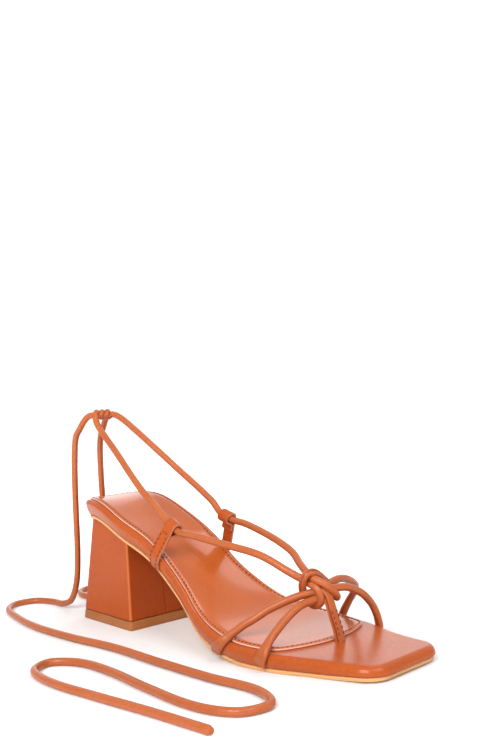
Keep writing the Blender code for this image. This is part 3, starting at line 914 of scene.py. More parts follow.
@dataclass(frozen=True)
class Plan:
    """A plan with rounded corners, as rungs from the lateral to the medial side."""

    back: float
    front: float
    back_corner: float
    front_corner: float
    width: Field
    shift: Field
    corner_steps: int = 9
    side_steps: int = 90
    shares: tuple[float, ...] = tuple(np.linspace(0.0, 1.0, 25))

    @property
    def rows(self) -> int:
        """Faces along the plan."""
        return self.side_steps + 2 * self.corner_steps

    @property
    def columns(self) -> int:
        """Faces across the plan."""
        return len(self.shares) - 1

    def rungs(self, inset: Callable[[Any], Any]) -> tuple[np.ndarray, np.ndarray]:
        """Stations of the rungs, and how far the sides draw in there.

        Args:
            inset: How far the plan lies inside its widest outline, by station.

        Returns:
            Stations and draws.
        """
        turn = np.linspace(0.0, math.pi / 2, self.corner_steps + 1)
        rear, fore = self.back + self.back_corner, self.front - self.front_corner
        rear_radius = self.back_corner - inset(self.back)
        fore_radius = self.front_corner - inset(self.front)
        side = np.linspace(rear, fore, self.side_steps + 1)[1:-1]
        stations = (rear - rear_radius * np.cos(turn), side, fore + fore_radius * np.sin(turn))
        draws = (self.back_corner - rear_radius * np.sin(turn), np.full_like(side, inset(side)),
                 self.front_corner - fore_radius * np.cos(turn))
        return np.concatenate(stations), np.concatenate(draws)

    def level(self, inset: Callable[[Any], Any], height: Field) -> Field:
        """Places of one level's points.

        Args:
            inset: How far the level lies inside the widest outline, by station.
            height: Height by station and across.

        Returns:
            Places by row and column.
        """
        stations, draws = self.rungs(inset)
        shares = np.array(self.shares)

        def places(row: np.ndarray, column: np.ndarray) -> np.ndarray:
            """Places of the points of a row and column.

            Args:
                row: Rows of the points.
                column: Their columns.

            Returns:
                Places in millimetres.
            """
            station, drawn = stations[row], draws[row]
            lateral = drawn - self.width(np.full_like(station, -1.0), station)
            medial = self.width(np.full_like(station, 1.0), station) - drawn
            across = mix(lateral, medial, shares[column])
            along = station + self.shift(station, across)
            return np.stack((along, across, height(along, across)), -1)

        return places

    def border(self, level: Field) -> np.ndarray:
        """Walk once round the edge of a level: lateral side forward, front, medial side back, back edge.

        Args:
            level: Places by row and column.

        Returns:
            Places along the edge.
        """
        rows, columns = np.arange(self.rows + 1), np.arange(self.columns + 1)
        edges = ((rows, 0), (self.rows, columns[1:]), (rows[-2::-1], self.columns), (0, columns[-2::-1]))
        return np.concatenate([level(*np.broadcast_arrays(row, column)) for row, column in edges])


class Line:
    """Smooth lines through given points."""

    PARTS = 12

    @staticmethod
    def smooth(points: Sequence[Row], step: float) -> np.ndarray:
        """Points about a step apart on a smooth curve through the given points.

        Args:
            points: Points that the line goes through.
            step: Distance between the line's own points.

        Returns:
            The line.
        """
        knots = np.asarray(points, float)
        ends = np.concatenate((2 * knots[:1] - knots[1:2], knots, 2 * knots[-1:] - knots[-2:-1]))
        share = np.linspace(0.0, 1.0, Line.PARTS, endpoint=False)[:, None]
        back = 1.0 - share
        fine = []
        for before, start, end, after in zip(ends, ends[1:], ends[2:], ends[3:]):
            span = np.linalg.norm(end - start)
            leave = (end - before) * span / (np.linalg.norm(start - before) + span)
            arrive = (after - start) * span / (np.linalg.norm(after - end) + span)
            fine.append(start * back * back * (1 + 2 * share) + leave * share * back * back
                        + end * share * share * (3 - 2 * share) - arrive * share * share * back)
        return Line.even(np.concatenate((*fine, knots[-1:])), step)

    @staticmethod
    def distances(points: np.ndarray) -> np.ndarray:
        """Distance of each point along the line."""
        return np.concatenate(((0.0,), np.cumsum(np.linalg.norm(np.diff(points, axis=0), axis=1))))

    @staticmethod
    def at(points: np.ndarray, marks: np.ndarray, values: np.ndarray | None = None) -> np.ndarray:
        """Points of a line, or values kept at its points, at given distances along it.

        Args:
            points: The line.
            marks: Distances along it.
            values: Values kept at its points; the points themselves where it is left out.

        Returns:
            One row for each distance.
        """
        walked = Line.distances(points)
        kept = points if values is None else values
        return np.stack([np.interp(marks, walked, column) for column in kept.T], -1)

    @staticmethod
    def even(points: np.ndarray, step: float) -> np.ndarray:
        """Points about a step apart along a line of close points."""
        length = Line.distances(points)[-1]
        return Line.at(points, np.linspace(0.0, length, max(round(length / step), 2) + 1))

    @staticmethod
    def tangents(points: np.ndarray) -> np.ndarray:
        """Directions along a line."""
        ahead = np.concatenate((points[1:], points[-1:])) - np.concatenate((points[:1], points[:-1]))
        return unit(ahead)

    @staticmethod
    def frames(points: np.ndarray, facing: Row) -> tuple[np.ndarray, np.ndarray]:
        """Normals and sides along a line, turned no more than the line itself turns.

        Args:
            points: The line.
            facing: Direction of the normal at the start.

        Returns:
            Normals and sides.
        """
        along = Line.tangents(points)
        normal = np.asarray(facing, float)
        normals = []
        for tangent in along:
            normal = unit(normal - tangent * normal.dot(tangent))
            normals.append(normal)
        return np.array(normals), np.cross(along, np.array(normals))


@dataclass(frozen=True)
class Crease:
    """A soft trough across a cord: its distance, direction round the cord, depth and half-length."""

    distance: float
    angle: float
    depth: float
    reach: float = 0.9


@dataclass(frozen=True)
class Profile:
    """Cross-section of a strap along its length.

    It starts as a flat tab and turns into the strap's own oval within tab_length. A square share of 2 is
    an oval, and more of it makes flatter sides. A rounded end starts at end_least of the strap's size and
    is full after end_edge of its half-thickness.
    """

    half_width: float
    half_thickness: float
    square: float = 2.0
    tab_half_width: float = 0.0
    tab_half_thickness: float = 0.0
    tab_square: float = 2.0
    tab_length: float = 0.0
    seam_angle: float = math.pi
    seam_depth: float = 0.09
    seam_reach: float = 0.16
    end_edge: float = 0.45
    end_least: float = 0.72
    sides: int = 20

    def rings(self, line: np.ndarray, facing: Row, creases: Sequence[Crease] = (),
              round_ends: tuple[bool, bool] = (False, False)) -> tuple[np.ndarray, np.ndarray]:
        """Rings of points round a line.

        Args:
            line: Middle line of the strap.
            facing: Direction of the strap's thickness at its start.
            creases: Troughs across the strap.
            round_ends: Whether the start and the end have a rounded edge.

        Returns:
            Places of the rings' points, and how far round from the seam each point of a ring lies.
        """
        walked = Line.distances(line)
        normals, sides = Line.frames(line, facing)
        share = ease(walked / self.tab_length)[:, None] if self.tab_length else np.ones((len(line), 1))
        wide = mix(self.tab_half_width, self.half_width, share)
        thick = mix(self.tab_half_thickness, self.half_thickness, share)
        power = 2.0 / mix(self.tab_square, self.square, share)
        turn = np.linspace(0.0, 2.0 * math.pi, self.sides, endpoint=False)[None, :]
        cosine, sine = np.cos(turn), np.sin(turn)
        from_seam = np.abs((turn - self.seam_angle + math.pi) % (2.0 * math.pi) - math.pi)
        size = 1.0 - self.seam_depth * np.exp(-((from_seam / self.seam_reach) ** 2)) * np.ones_like(share)
        for crease in creases:
            facing_it = np.clip(np.cos(turn - crease.angle), 0.0, 1.0)
            near = np.exp(-(((walked - crease.distance) / crease.reach) ** 2))[:, None]
            size = size - crease.depth * facing_it * near
        size = size * self.end_size(walked, round_ends)[:, None]
        out = np.sign(cosine) * np.abs(cosine) ** power * thick * size
        off = np.sign(sine) * np.abs(sine) ** power * wide * size
        points = line[:, None] + normals[:, None] * out[..., None] + sides[:, None] * off[..., None]
        return points, from_seam[0]

    def end_size(self, walked: np.ndarray, round_ends: tuple[bool, bool]) -> np.ndarray:
        """Size of the strap near its ends, drawn in where an end has a rounded edge.

        Args:
            walked: Distances along the strap.
            round_ends: Whether the start and the end have a rounded edge.

        Returns:
            Size at each distance, 1 away from the ends.
        """
        size = np.ones_like(walked)
        edge = self.end_edge * self.half_thickness
        for wanted, away in zip(round_ends, (walked, walked[-1] - walked)):
            if wanted:
                depth = 1.0 - np.minimum(away / edge, 1.0)
                size = np.minimum(size, mix(self.end_least, 1.0, np.sqrt(1.0 - depth * depth)))
        return size


class Strap:
    """Makes straps, cords and stitches along lines.

    STITCH holds a stitch's half-sizes along, across and out of the leather. Its ends bow into the leather,
    and its direction is taken between the points STITCH_REACH before and after its middle.
    """

    STITCH = (0.85, 0.30, 0.30)
    STITCH_BOW = 0.1
    STITCH_PITCH = 2.5
    STITCH_REACH = 0.3

    @staticmethod
    def make(name: str, profile: Profile, line: np.ndarray, facing: Row, creases: Sequence[Crease] = (),
             round_ends: tuple[bool, bool] = (False, False)) -> Piece:
        """Make a strap along a line; its points know how near the seam they are.

        Args:
            name: Name of the piece.
            profile: Its cross-section.
            line: Its middle line.
            facing: Direction of its thickness at the start.
            creases: Troughs across it.
            round_ends: Whether its start and end have a rounded edge.

        Returns:
            The piece.
        """
        rings, from_seam = profile.rings(line, facing, creases, round_ends)
        piece = Bench.tube(name, rings)
        Bench.mark(piece, "seam", from_seam[Bench.numbers(piece, "column") % profile.sides])
        return piece

    @staticmethod
    def stitches(name: str, line: np.ndarray, normals: np.ndarray) -> Piece:
        """Sew a row of stitches along a line: one stitch is modelled and copied.

        Args:
            name: Name of the piece.
            line: Where the thread lies.
            normals: Direction out of the leather along the line.

        Returns:
            The row as one piece.
        """
        Bench.free()
        bpy.ops.mesh.primitive_uv_sphere_add(segments=8, ring_count=6, radius=1.0)
        stitch = bpy.context.object
        shape = Bench.points(stitch) * Strap.STITCH
        shape[:, 2] -= Strap.STITCH_BOW * shape[:, 0] ** 2
        faces = [tuple(face.vertices) for face in stitch.data.polygons]
        bpy.data.objects.remove(stitch, do_unlink=True)
        marks = (np.arange(int(Line.distances(line)[-1] / Strap.STITCH_PITCH)) + 0.5) * Strap.STITCH_PITCH
        along = unit(Line.at(line, marks + Strap.STITCH_REACH) - Line.at(line, marks - Strap.STITCH_REACH))
        sideways = unit(np.cross(Line.at(line, marks, normals), along))
        turned = np.stack((along, sideways, np.cross(along, sideways)), -2)
        points = Line.at(line, marks)[:, None] + np.einsum("pk,nkx->npx", shape, turned)
        mesh = bpy.data.meshes.new(name)
        firsts = range(0, len(marks) * len(shape), len(shape))
        every = [tuple(first + index for index in face) for first in firsts for face in faces]
        mesh.from_pydata(place(points.reshape(-1, 3)).tolist(), [], every)
        mesh.update()
        piece = bpy.data.objects.new(name, mesh)
        bpy.context.collection.objects.link(piece)
        return Bench.smooth(piece)


@dataclass(frozen=True)
class Sole:
    """Outsole, wrapped footbed and sock lining, with the sock's stitching.

    The outsole's steps are rows of draw inward and share of its thickness. Those of the sock's edge and of
    its groove are rows of draw inward, from the edge or from the stitches, and drop under its top.
    """

    last: Last
    wardrobe: Wardrobe
    wall_steps: tuple[float, ...] = (0.0, 0.05, 0.12, 0.25, 0.4, 0.55, 0.7, 0.85, 1.0)
    wall_bulge: float = 0.35
    wall_tuck: float = 0.6
    wall_tuck_power: int = 12
    roll_steps: int = 8
    outsole_steps: Steps = ((0.5, 0.0), (0.12, 0.1), (0.0, 0.3), (0.0, 0.75), (0.15, 0.94), (0.5, 1.0))
    sock_inset: float = 3.4
    sock_front: float = 184.0
    sock_bow: float = 9.0
    sock_bow_length: float = 45.0
    sock_corner: float = 3.0
    sock_top: float = 1.3
    sock_edge: Steps = ((0.0, 1.25), (0.0, 0.65), (0.02, 0.28), (0.12, 0.08), (0.35, 0.0))
    sock_groove: Steps = ((-0.65, 0.0), (-0.25, 0.22), (0.25, 0.22), (0.7, 0.0))
    stitch_inset: float = 1.6
    stitch_sink: float = 0.12
    stitch_step: float = 0.8

    def plan(self) -> Plan:
        """Plan of the whole sole."""
        last = self.last
        return Plan(0.0, last.length, last.heel_corner, last.toe_corner, last.half_width, last.toe_shift)

    def sock_shift(self, station: Any, across: Any) -> np.ndarray:
        """Bow of the sock's front edge, furthest forward in the middle."""
        reach = across / self.last.half_width(across, station)
        return -self.sock_bow * reach * reach * ease((station - self.sock_front) / self.sock_bow_length + 1.0)

    def sock_plan(self) -> Plan:
        """Plan of the sock at the sole's own outline; the sock lies sock_inset inside it."""
        return Plan(0.0, self.sock_front + self.sock_inset, self.last.heel_corner,
                    self.sock_corner + self.sock_inset, self.last.half_width, self.sock_shift)

    def outsole(self) -> None:
        """Pale sheet with softened edges."""
        last, plan = self.last, self.plan()
        levels = []
        for draw, share in self.outsole_steps:
            levels.append(plan.level(
                lambda station, draw=draw: last.lean(station) + draw,
                lambda station, across, share=share: mix(
                    last.underside(station), last.outsole_top(station), share)))
        piece = Bench.stack("outsole_sheet", plan.rows, plan.columns, levels)
        self.wardrobe.dress(piece, Slot.SOLE, (PALE_SOLE,), "outsole")

    def footbed(self) -> None:
        """Board wrapped in leather: a soft wall, a rolled upper edge and a hollowed upper face."""
        last, plan = self.last, self.plan()
        levels = []
        for climb in self.wall_steps:
            tuck = self.wall_tuck * (1.0 - climb) ** self.wall_tuck_power
            out = self.wall_bulge * math.sin(math.pi * climb) - tuck
            levels.append(plan.level(
                lambda station, climb=climb, out=out: last.lean(station) * (1.0 - climb) - out,
                lambda station, across, climb=climb: mix(
                    last.outsole_top(station), last.surface(station, across) - last.roll(station), climb)))
        for angle in np.linspace(0.0, math.pi / 2, self.roll_steps + 1)[1:]:
            inset, drop = 1.0 - math.cos(angle), 1.0 - math.sin(angle)
            levels.append(plan.level(
                lambda station, inset=inset: last.roll(station) * inset,
                lambda station, across, drop=drop: last.surface(station, across) - last.roll(station) * drop))
        piece = Bench.stack("wrapped_footbed", plan.rows, plan.columns, levels)
        self.wardrobe.dress(piece, Slot.LEATHER, (WRAP,), "footbed")

    def sock_level(self, plan: Plan, draw: float, lift: float) -> Field:
        """One level of the sock, draw inside its edge and lift over the footbed."""
        return plan.level(lambda station: self.sock_inset + draw,
                          lambda station, across: self.last.surface(station, across) + lift)

    def sock(self) -> None:
        """Sock with a pale cut edge and a groove under its stitches."""
        plan, top, seam = self.sock_plan(), self.sock_top, self.stitch_inset
        groove = [(seam + draw, drop) for draw, drop in self.sock_groove]
        levels = [self.sock_level(plan, draw, top - drop) for draw, drop in (*self.sock_edge, *groove)]
        piece = Bench.stack("sock", plan.rows, plan.columns, levels)
        self.wardrobe.dress(piece, Slot.SOCK, (SOCK,), "sock_lining")
        line = Line.even(plan.border(self.sock_level(plan, seam, top - self.stitch_sink)), self.stitch_step)
        stations = np.arange(0.0, self.last.length)
        climb = np.interp(line[:, 0], stations, np.gradient(self.last.surface(stations, 0.0)))
        normals = np.stack((-climb, np.zeros_like(climb), np.ones_like(climb)), -1)
        row = Strap.stitches("sock_stitches", line, normals)
        self.wardrobe.dress(row, Slot.SOCK, (TAN_THREAD,))

    def build(self) -> None:
        """Make the sole's pieces."""
        self.outsole()
        self.footbed()
        self.sock()


@dataclass(frozen=True)
class HeelPlan:
    """The heel's outline at one height."""

    back: float
    front: float
    lateral_back: float
    lateral_front: float
    medial_back: float
    medial_front: float
    hollow: float


@dataclass(frozen=True)
class Heel:
    """Flared block heel, wrapped in leather with a seam down its breast, on its top lift.

    The top lift's steps are rows of height and draw inward.
    """

    last: Last
    wardrobe: Wardrobe
    at_floor: HeelPlan = HeelPlan(-1.2, 57.5, 19.0, 25.0, 20.5, 25.5, 0.0)
    at_seat: HeelPlan = HeelPlan(7.0, 54.0, 14.6, 22.6, 18.5, 24.4, 2.5)
    rise: float = 55.0
    back_corner: float = 5.0
    front_corner: float = 1.6
    lift_thickness: float = 5.0
    joint: float = 0.3
    tuck: float = 0.4
    seat_gap: float = 0.05
    levels: int = 14
    corner_steps: int = 7
    side_steps: int = 16
    lift_steps: Steps = ((0.0, 0.45), (0.12, 0.12), (0.45, 0.0), (2.4, 0.0), (4.7, 0.0), (5.0, 0.3))
    columns: int = 14
    seam_share: float = 0.50
    seam_half_share: float = 0.006
    seam_clear_share: float = 0.03
    seam_depth: float = 0.4
    seam_near: float = 0.2
    painted_highlight_rows: float = 2.0

    def shares(self) -> tuple[float, ...]:
        """Columns across the heel, with three at the seam.

        Returns:
            Shares of the width, from the lateral to the medial side.
        """
        every = np.linspace(0.0, 1.0, self.columns + 1)
        even = [share for share in every if abs(share - self.seam_share) > self.seam_clear_share]
        seam = [self.seam_share + offset * self.seam_half_share for offset in (-1.0, 0.0, 1.0)]
        return tuple(sorted(even + seam))

    def plan(self, share: float, shrink: float = 0.0, seam: bool = False) -> Plan:
        """The heel's plan a share of the way up from the floor to the seat.

        Args:
            share: Share of the height.
            shrink: How far the outline is drawn in.
            seam: Whether the breast has its seam.

        Returns:
            The plan.
        """
        ends = zip(astuple(self.at_floor), astuple(self.at_seat))
        row = HeelPlan(*(mix(low, high, share) for low, high in ends))
        length = row.front - row.back

        def width(across: Any, station: Any) -> np.ndarray:
            """Half-width on the side of across.

            Args:
                across: Places across.
                station: Their stations.

            Returns:
                Half-widths.
            """
            run = (station - row.back) / length
            lateral = mix(row.lateral_back, row.lateral_front, run)
            medial = mix(row.medial_back, row.medial_front, run)
            return np.where(np.asarray(across) < 0, lateral, medial) - shrink

        def shift(station: Any, across: Any) -> np.ndarray:
            """Hollow of the breast, with the groove of its seam.

            Args:
                station: Stations.
                across: Places across there.

            Returns:
                Shifts forward.
            """
            reach = across / width(across, station)
            at_front = ease((station - row.back) / length)
            hollow = row.hollow * np.maximum(1.0 - reach * reach, 0.0) * at_front
            seam_at = mix(-width(-1.0, station), width(1.0, station), self.seam_share)
            near = np.abs(across - seam_at) < self.seam_near
            on_breast = station > row.front - shrink - self.seam_near
            return -hollow - self.seam_depth * (near & on_breast & seam)

        return Plan(row.back + shrink, row.front - shrink, self.back_corner, self.front_corner, width, shift,
                    self.corner_steps, self.side_steps, self.shares())

    @staticmethod
    def flat(plan: Plan, height: float) -> Field:
        """A level of a plan at one height."""
        return plan.level(lambda station: 0.0, lambda station, across: np.full_like(station, height))

    def block(self) -> None:
        """Block under the seat; its upper face follows the outsole."""
        foot = self.lift_thickness + self.joint
        at_foot = foot / self.rise
        levels = [self.flat(self.plan(at_foot, self.tuck, seam=True), foot),
                  self.flat(self.plan(at_foot, seam=True), foot + self.tuck)]
        for climb in np.linspace(0.0, 1.0, self.levels + 1)[1:]:
            plan = self.plan(mix(at_foot, 1.0, climb), seam=True)
            levels.append(plan.level(
                lambda station: 0.0,
                lambda station, across, climb=climb: mix(
                    foot, self.last.underside(station) - self.seat_gap, climb)))
        piece = Bench.stack("wrapped_heel", plan.rows, plan.columns, levels)
        row, column = Bench.numbers(piece, "row"), Bench.numbers(piece, "column")
        breast = row == plan.rows
        # Rows in the middle of each front corner's turn, which carry the painted highlight.
        turning = np.abs(plan.rows - plan.corner_steps / 2 - row) < self.painted_highlight_rows
        # The breast mask carries the painted shade on the heel's front face.
        Bench.mark(piece, "breast", breast)
        Bench.mark(piece, "seam", breast & (column == plan.shares.index(self.seam_share)))
        # The corner mask carries the painted highlight.
        Bench.mark(piece, "corner", turning & ((column == 0) | (column == plan.columns)))
        self.wardrobe.dress(piece, Slot.LEATHER, (HEEL_WRAP,), "heel_block")

    def top_lift(self) -> None:
        """Wearing layer with softened edges."""
        levels = []
        for height, shrink in self.lift_steps:
            plan = self.plan(height / self.rise, shrink)
            levels.append(self.flat(plan, height))
        piece = Bench.stack("top_lift", plan.rows, plan.columns, levels)
        self.wardrobe.dress(piece, Slot.LIFT, (TOP_LIFT,), "heel_top_lift")

    def build(self) -> None:
        """Make the heel's pieces."""
        self.block()
        self.top_lift()


CORD_RADIUS = 1.9
ROLLED = Profile(CORD_RADIUS, CORD_RADIUS)
BROAD_TAB = Profile(CORD_RADIUS, CORD_RADIUS, tab_half_width=3.2, tab_half_thickness=0.9, tab_square=3.2,
                    tab_length=15.0)
SLIM_TAB = replace(BROAD_TAB, tab_half_width=2.3)
FOLDED = Profile(2.4, 1.6, square=4.0, seam_angle=1.5 * math.pi, seam_depth=0.42, seam_reach=0.42, sides=40)


@dataclass(frozen=True)
class Strand:
    """One rolled strand: its name, side, cross-section, route and creases."""

    name: str
    side: Side
    profile: Profile
    points: Route
    creases: tuple[Crease, ...] = ()


@dataclass(frozen=True)
class ToeStraps:
    """Two strands a side, the toe thong and the knot over it."""

    wardrobe: Wardrobe
    step: float = 1.3
    strands: tuple[Strand, ...] = (
        Strand("strand_lateral_rear", Side.LATERAL, BROAD_TAB, (
            (142.8, -36.6, 4.3), (143.2, -37.1, 5.8), (144.6, -37.8, 7.3), (147.0, -38.5, 8.8),
            (149.4, -38.1, 10.7), (150.7, -36.7, 12.0), (151.2, -34.4, 13.3), (152.1, -31.0, 14.8),
            (153.0, -27.5, 16.5), (155.9, -24.6, 18.6), (162.3, -17.2, 23.8), (171.3, -7.0, 28.4),
            (177.5, 0.0, 30.0)),
            (Crease(10.5, math.pi, 0.10), Crease(13.6, math.pi, 0.07), Crease(40.0, math.pi, 0.06))),
        Strand("strand_lateral_front", Side.LATERAL, BROAD_TAB, (
            (172.7, -37.2, 3.7), (173.4, -37.5, 5.1), (174.8, -37.9, 7.4), (175.6, -37.3, 9.1),
            (175.7, -36.0, 10.7), (175.6, -31.0, 15.0), (176.0, -21.9, 21.2), (176.5, -12.8, 25.4),
            (177.3, -6.0, 26.4), (178.3, -1.0, 27.2)),
            (Crease(9.0, math.pi, 0.10), Crease(12.4, math.pi, 0.07), Crease(36.0, 0.0, 0.06))),
        Strand("strand_medial_rear", Side.MEDIAL, SLIM_TAB, (
            (152.4, 40.1, 4.0), (155.5, 40.3, 10.0), (160.0, 40.2, 16.5), (165.0, 38.5, 21.4),
            (169.8, 34.2, 26.4), (173.3, 24.5, 31.1), (175.6, 15.0, 32.9), (177.5, 3.0, 31.5)),
            (Crease(17.5, math.pi, 0.08), Crease(25.0, math.pi, 0.10), Crease(28.5, math.pi, 0.06))),
        Strand("strand_medial_front", Side.MEDIAL, SLIM_TAB, (
            (181.9, 36.0, 3.0), (181.9, 36.3, 8.0), (182.0, 34.9, 12.8), (182.1, 32.2, 17.8),
            (182.5, 26.0, 23.9), (182.0, 20.0, 27.6), (182.0, 12.5, 30.2), (180.0, 3.0, 30.6)),
            (Crease(9.5, math.pi, 0.08), Crease(17.0, math.pi, 0.10), Crease(30.5, math.pi, 0.07))),
    )
    thong: Route = (
        (187.6, 1.0, 7.6), (186.6, 0.6, 13.3), (185.1, -0.1, 19.5), (183.6, -0.3, 24.9),
        (182.0, -0.3, 28.5), (179.6, -0.3, 30.9), (175.9, -0.1, 32.4))
    arch: Route = (
        (169.4, -1.6, 26.6), (170.7, -4.5, 30.6), (173.0, -6.7, 34.2), (174.7, -6.8, 37.5),
        (175.8, -5.2, 39.1), (176.3, -2.3, 39.0), (176.0, 1.4, 37.1), (176.0, 4.6, 34.5), (176.4, 7.8, 31.6))
    sewn_from: float = 9.5
    sewn_to: float = 25.0
    sewn_inset: float = 0.8

    def build(self) -> None:
        """Make the strands, the thong and the knot's arch."""
        for strand in self.strands:
            line = Line.smooth(strand.points, self.step)
            facing = (0.0, strand.side.value, 0.0)
            piece = Strap.make(strand.name, strand.profile, line, facing, strand.creases)
            self.wardrobe.dress(piece, Slot.LEATHER, (CORD,), "upper_toe_straps")
        self.fold_thong()
        piece = Strap.make("knot_arch", ROLLED, Line.smooth(self.arch, self.step), (0.0, 1.0, 0.0),
                           round_ends=(True, True))
        self.wardrobe.dress(piece, Slot.LEATHER, (CORD,), "upper_toe_straps")

    def fold_thong(self) -> None:
        """Make the thong: a strip folded once, open on its lateral side and sewn near each edge."""
        facing = (1.0, 0.0, 0.0)
        line = Line.smooth(self.thong, self.step)
        piece = Strap.make("toe_thong", FOLDED, line, facing)
        self.wardrobe.dress(piece, Slot.LEATHER, (CORD,), "upper_toe_straps")
        normals, sides = Line.frames(line, facing)
        held = (line[:, 2] > self.sewn_from) & (line[:, 2] < self.sewn_to)
        face = line + normals * FOLDED.half_thickness
        for side in Side:
            inset = FOLDED.half_width - self.sewn_inset
            row = Strap.stitches(f"toe_thong_stitches_{side.name.lower()}",
                                 (face + sides * inset * side.value)[held], normals[held])
            self.wardrobe.dress(row, Slot.LEATHER, (TAN_THREAD,))


@dataclass(frozen=True)
class SideLoop:
    """A folded strip that stands on the wall and leans forward, and inward above the wall.

    Lean is the strip's own and slope that of the tie through it; rise is the way up to the tie.
    """

    name: str
    node: str
    side: Side
    station: float
    lean: float
    slope: float
    rise: float
    inward: float
    width: float = 7.8
    thickness: float = 1.4
    tie_gap: float = 0.45
    wall_gap: float = 0.5
    foot: float = 0.6
    wall_rise: float = 7.5
    wall_share: float = 0.85
    wall_points: int = 5
    free_shares: tuple[float, ...] = (0.12, 0.4, 0.7)
    arc: float = math.radians(235.0)
    arc_steps: int = 9
    neck: float = 4.8
    tail: float = 4.0
    tail_gap: float = 0.3
    leads: tuple[float, ...] = (5.6, 2.2, -2.2, -5.6)
    step: float = 0.8
    columns: int = 8
    rim: float = 0.3
    rim_angle: float = math.radians(50.0)
    stitch_inset: float = 1.2
    stitch_lift: float = 0.08
    seam_drop: float = 3.4
    seam_points: int = 9

    def point(self, last: Last, slide: Any, out: Any, climb: Any) -> np.ndarray:
        """Places slide along the tie, out from the wall and climb up the strip.

        Args:
            last: The form that the sole is built on.
            slide: Distances along the tie.
            out: Distances out from the wall.
            climb: Distances up the strip.

        Returns:
            Places in millimetres.
        """
        station = self.station + math.cos(self.slope) * slide + math.sin(self.lean) * climb
        rise = math.cos(self.lean) * climb - math.sin(self.slope) * slide
        height = last.outsole_top(self.station) + self.foot + rise
        wall = last.half_width(self.side.value, station) - last.wall_draw(station, height)
        return np.stack((station, self.side.value * (wall + out), height), -1)

    def ring(self) -> tuple[float, float]:
        """Radius of the bend round the tie, and how far its centre lies out from the wall."""
        radius = CORD_RADIUS + self.tie_gap + self.thickness / 2
        return radius, self.wall_gap + self.thickness / 2 - self.inward - radius

    def tie_points(self, last: Last) -> np.ndarray:
        """Where the tie runs through the loop."""
        slides = np.array(self.leads)
        return self.point(last, slides, np.full(len(slides), self.ring()[1]), np.full(len(slides), self.rise))

    def middle_line(self) -> tuple[np.ndarray, float]:
        """Middle line of the strip: up the wall, round the tie and back down inside.

        Returns:
            Places as out and climb, and the distance along the line at which the bend starts.
        """
        radius, centre = self.ring()
        outer, free = self.wall_gap + self.thickness / 2, self.rise - self.wall_rise
        reach = outer - centre
        lean_in = math.atan2(reach, free) - math.asin(radius / math.hypot(reach, free))
        across, upward = math.cos(lean_in), math.sin(lean_in)
        touch = np.array((centre + radius * across, self.rise + radius * upward))
        fold = np.array((outer, self.wall_rise))
        climbs = np.linspace(0.0, self.wall_rise * self.wall_share, self.wall_points)
        wall = [(outer, climb) for climb in climbs]
        free_part = [mix(fold, touch, share) for share in self.free_shares]
        angles = lean_in + np.linspace(0.0, self.arc, self.arc_steps + 1)
        bend = [(centre + radius * math.cos(angle), self.rise + radius * math.sin(angle)) for angle in angles]
        inner = radius - self.thickness - self.tail_gap
        down = [(centre + inner * across + drop * upward, self.rise + inner * upward - drop * across)
                for drop in (self.neck, self.neck + self.tail / 2, self.neck + self.tail)]
        line = Line.smooth((*wall, *free_part, *bend, *down), self.step)
        start = int(np.argmin(np.linalg.norm(line - touch, axis=1)))
        return line, Line.distances(line)[start]

    def strip(self, last: Last, line: np.ndarray, wardrobe: Wardrobe) -> None:
        """Make the strip, with pale cut edges.

        Args:
            last: The form that the sole is built on.
            line: Middle line of the strip, as out and climb.
            wardrobe: Where the finishes come from.
        """
        slides = np.linspace(-self.width / 2, self.width / 2, self.columns + 1)
        piece = Bench.grid(self.name, len(line) - 1, self.columns)
        Bench.move(piece, lambda row, column: self.point(last, slides[column], line[row, 0], line[row, 1]))
        wardrobe.hang(piece, (WRAP, RAW_EDGE))
        Bench.finish(piece, "SOLIDIFY", thickness=self.thickness * MILLIMETRE, offset=0.0,
                     material_offset_rim=1)
        Bench.finish(piece, "BEVEL", width=self.rim * MILLIMETRE, segments=2, angle_limit=self.rim_angle)
        Bench.smooth(piece)
        wardrobe.dress(piece, Slot.LEATHER, (WRAP, RAW_EDGE), self.node)

    def stitches(self, last: Last, line: np.ndarray, bend_from: float, wardrobe: Wardrobe) -> None:
        """Sew a row inside each long edge, and one across the strip under the tie.

        Args:
            last: The form that the sole is built on.
            line: Middle line of the strip, as out and climb.
            bend_from: Distance along the line at which the bend starts.
            wardrobe: Where the finishes come from.
        """
        along = Line.tangents(line)
        outer = line + np.stack((along[:, 1], -along[:, 0]), -1) * (self.thickness / 2 + self.stitch_lift)
        held = Line.distances(line) < bend_from - self.seam_drop
        side_slide = self.width / 2 - self.stitch_inset
        seam = np.tile(outer[held][-1], (self.seam_points, 1))
        rows = {
            "back": (np.full(held.sum(), -side_slide), outer[held]),
            "front": (np.full(held.sum(), side_slide), outer[held]),
            "across": (np.linspace(-side_slide, side_slide, self.seam_points), seam),
        }
        for label, (slides, places) in rows.items():
            path = Line.even(self.point(last, slides, places[:, 0], places[:, 1]), self.step)
            normals = np.tile((0.0, self.side.value, 0.0), (len(path), 1))
            row = Strap.stitches(f"{self.name}_stitches_{label}", path, normals)
            wardrobe.dress(row, Slot.LEATHER, (TAN_THREAD,))

    def build(self, last: Last, wardrobe: Wardrobe) -> None:
        """Make the strip, with its stitches.

        Args:
            last: The form that the sole is built on.
            wardrobe: Where the finishes come from.
        """
        line, bend_from = self.middle_line()
        self.strip(last, line, wardrobe)
        self.stitches(last, line, bend_from, wardrobe)


@dataclass(frozen=True)
class Tie:
    """One tie: from the front knot through its loop to the half-knot, and its loose length beyond.

    The loose length hangs down first, and then lies on the floor through spots of station and across.
    """

    name: str
    loop: SideLoop
    from_knot: Route
    to_ankle: Route
    loose_name: str
    loose_node: str
    hang: Route
    lie: Steps


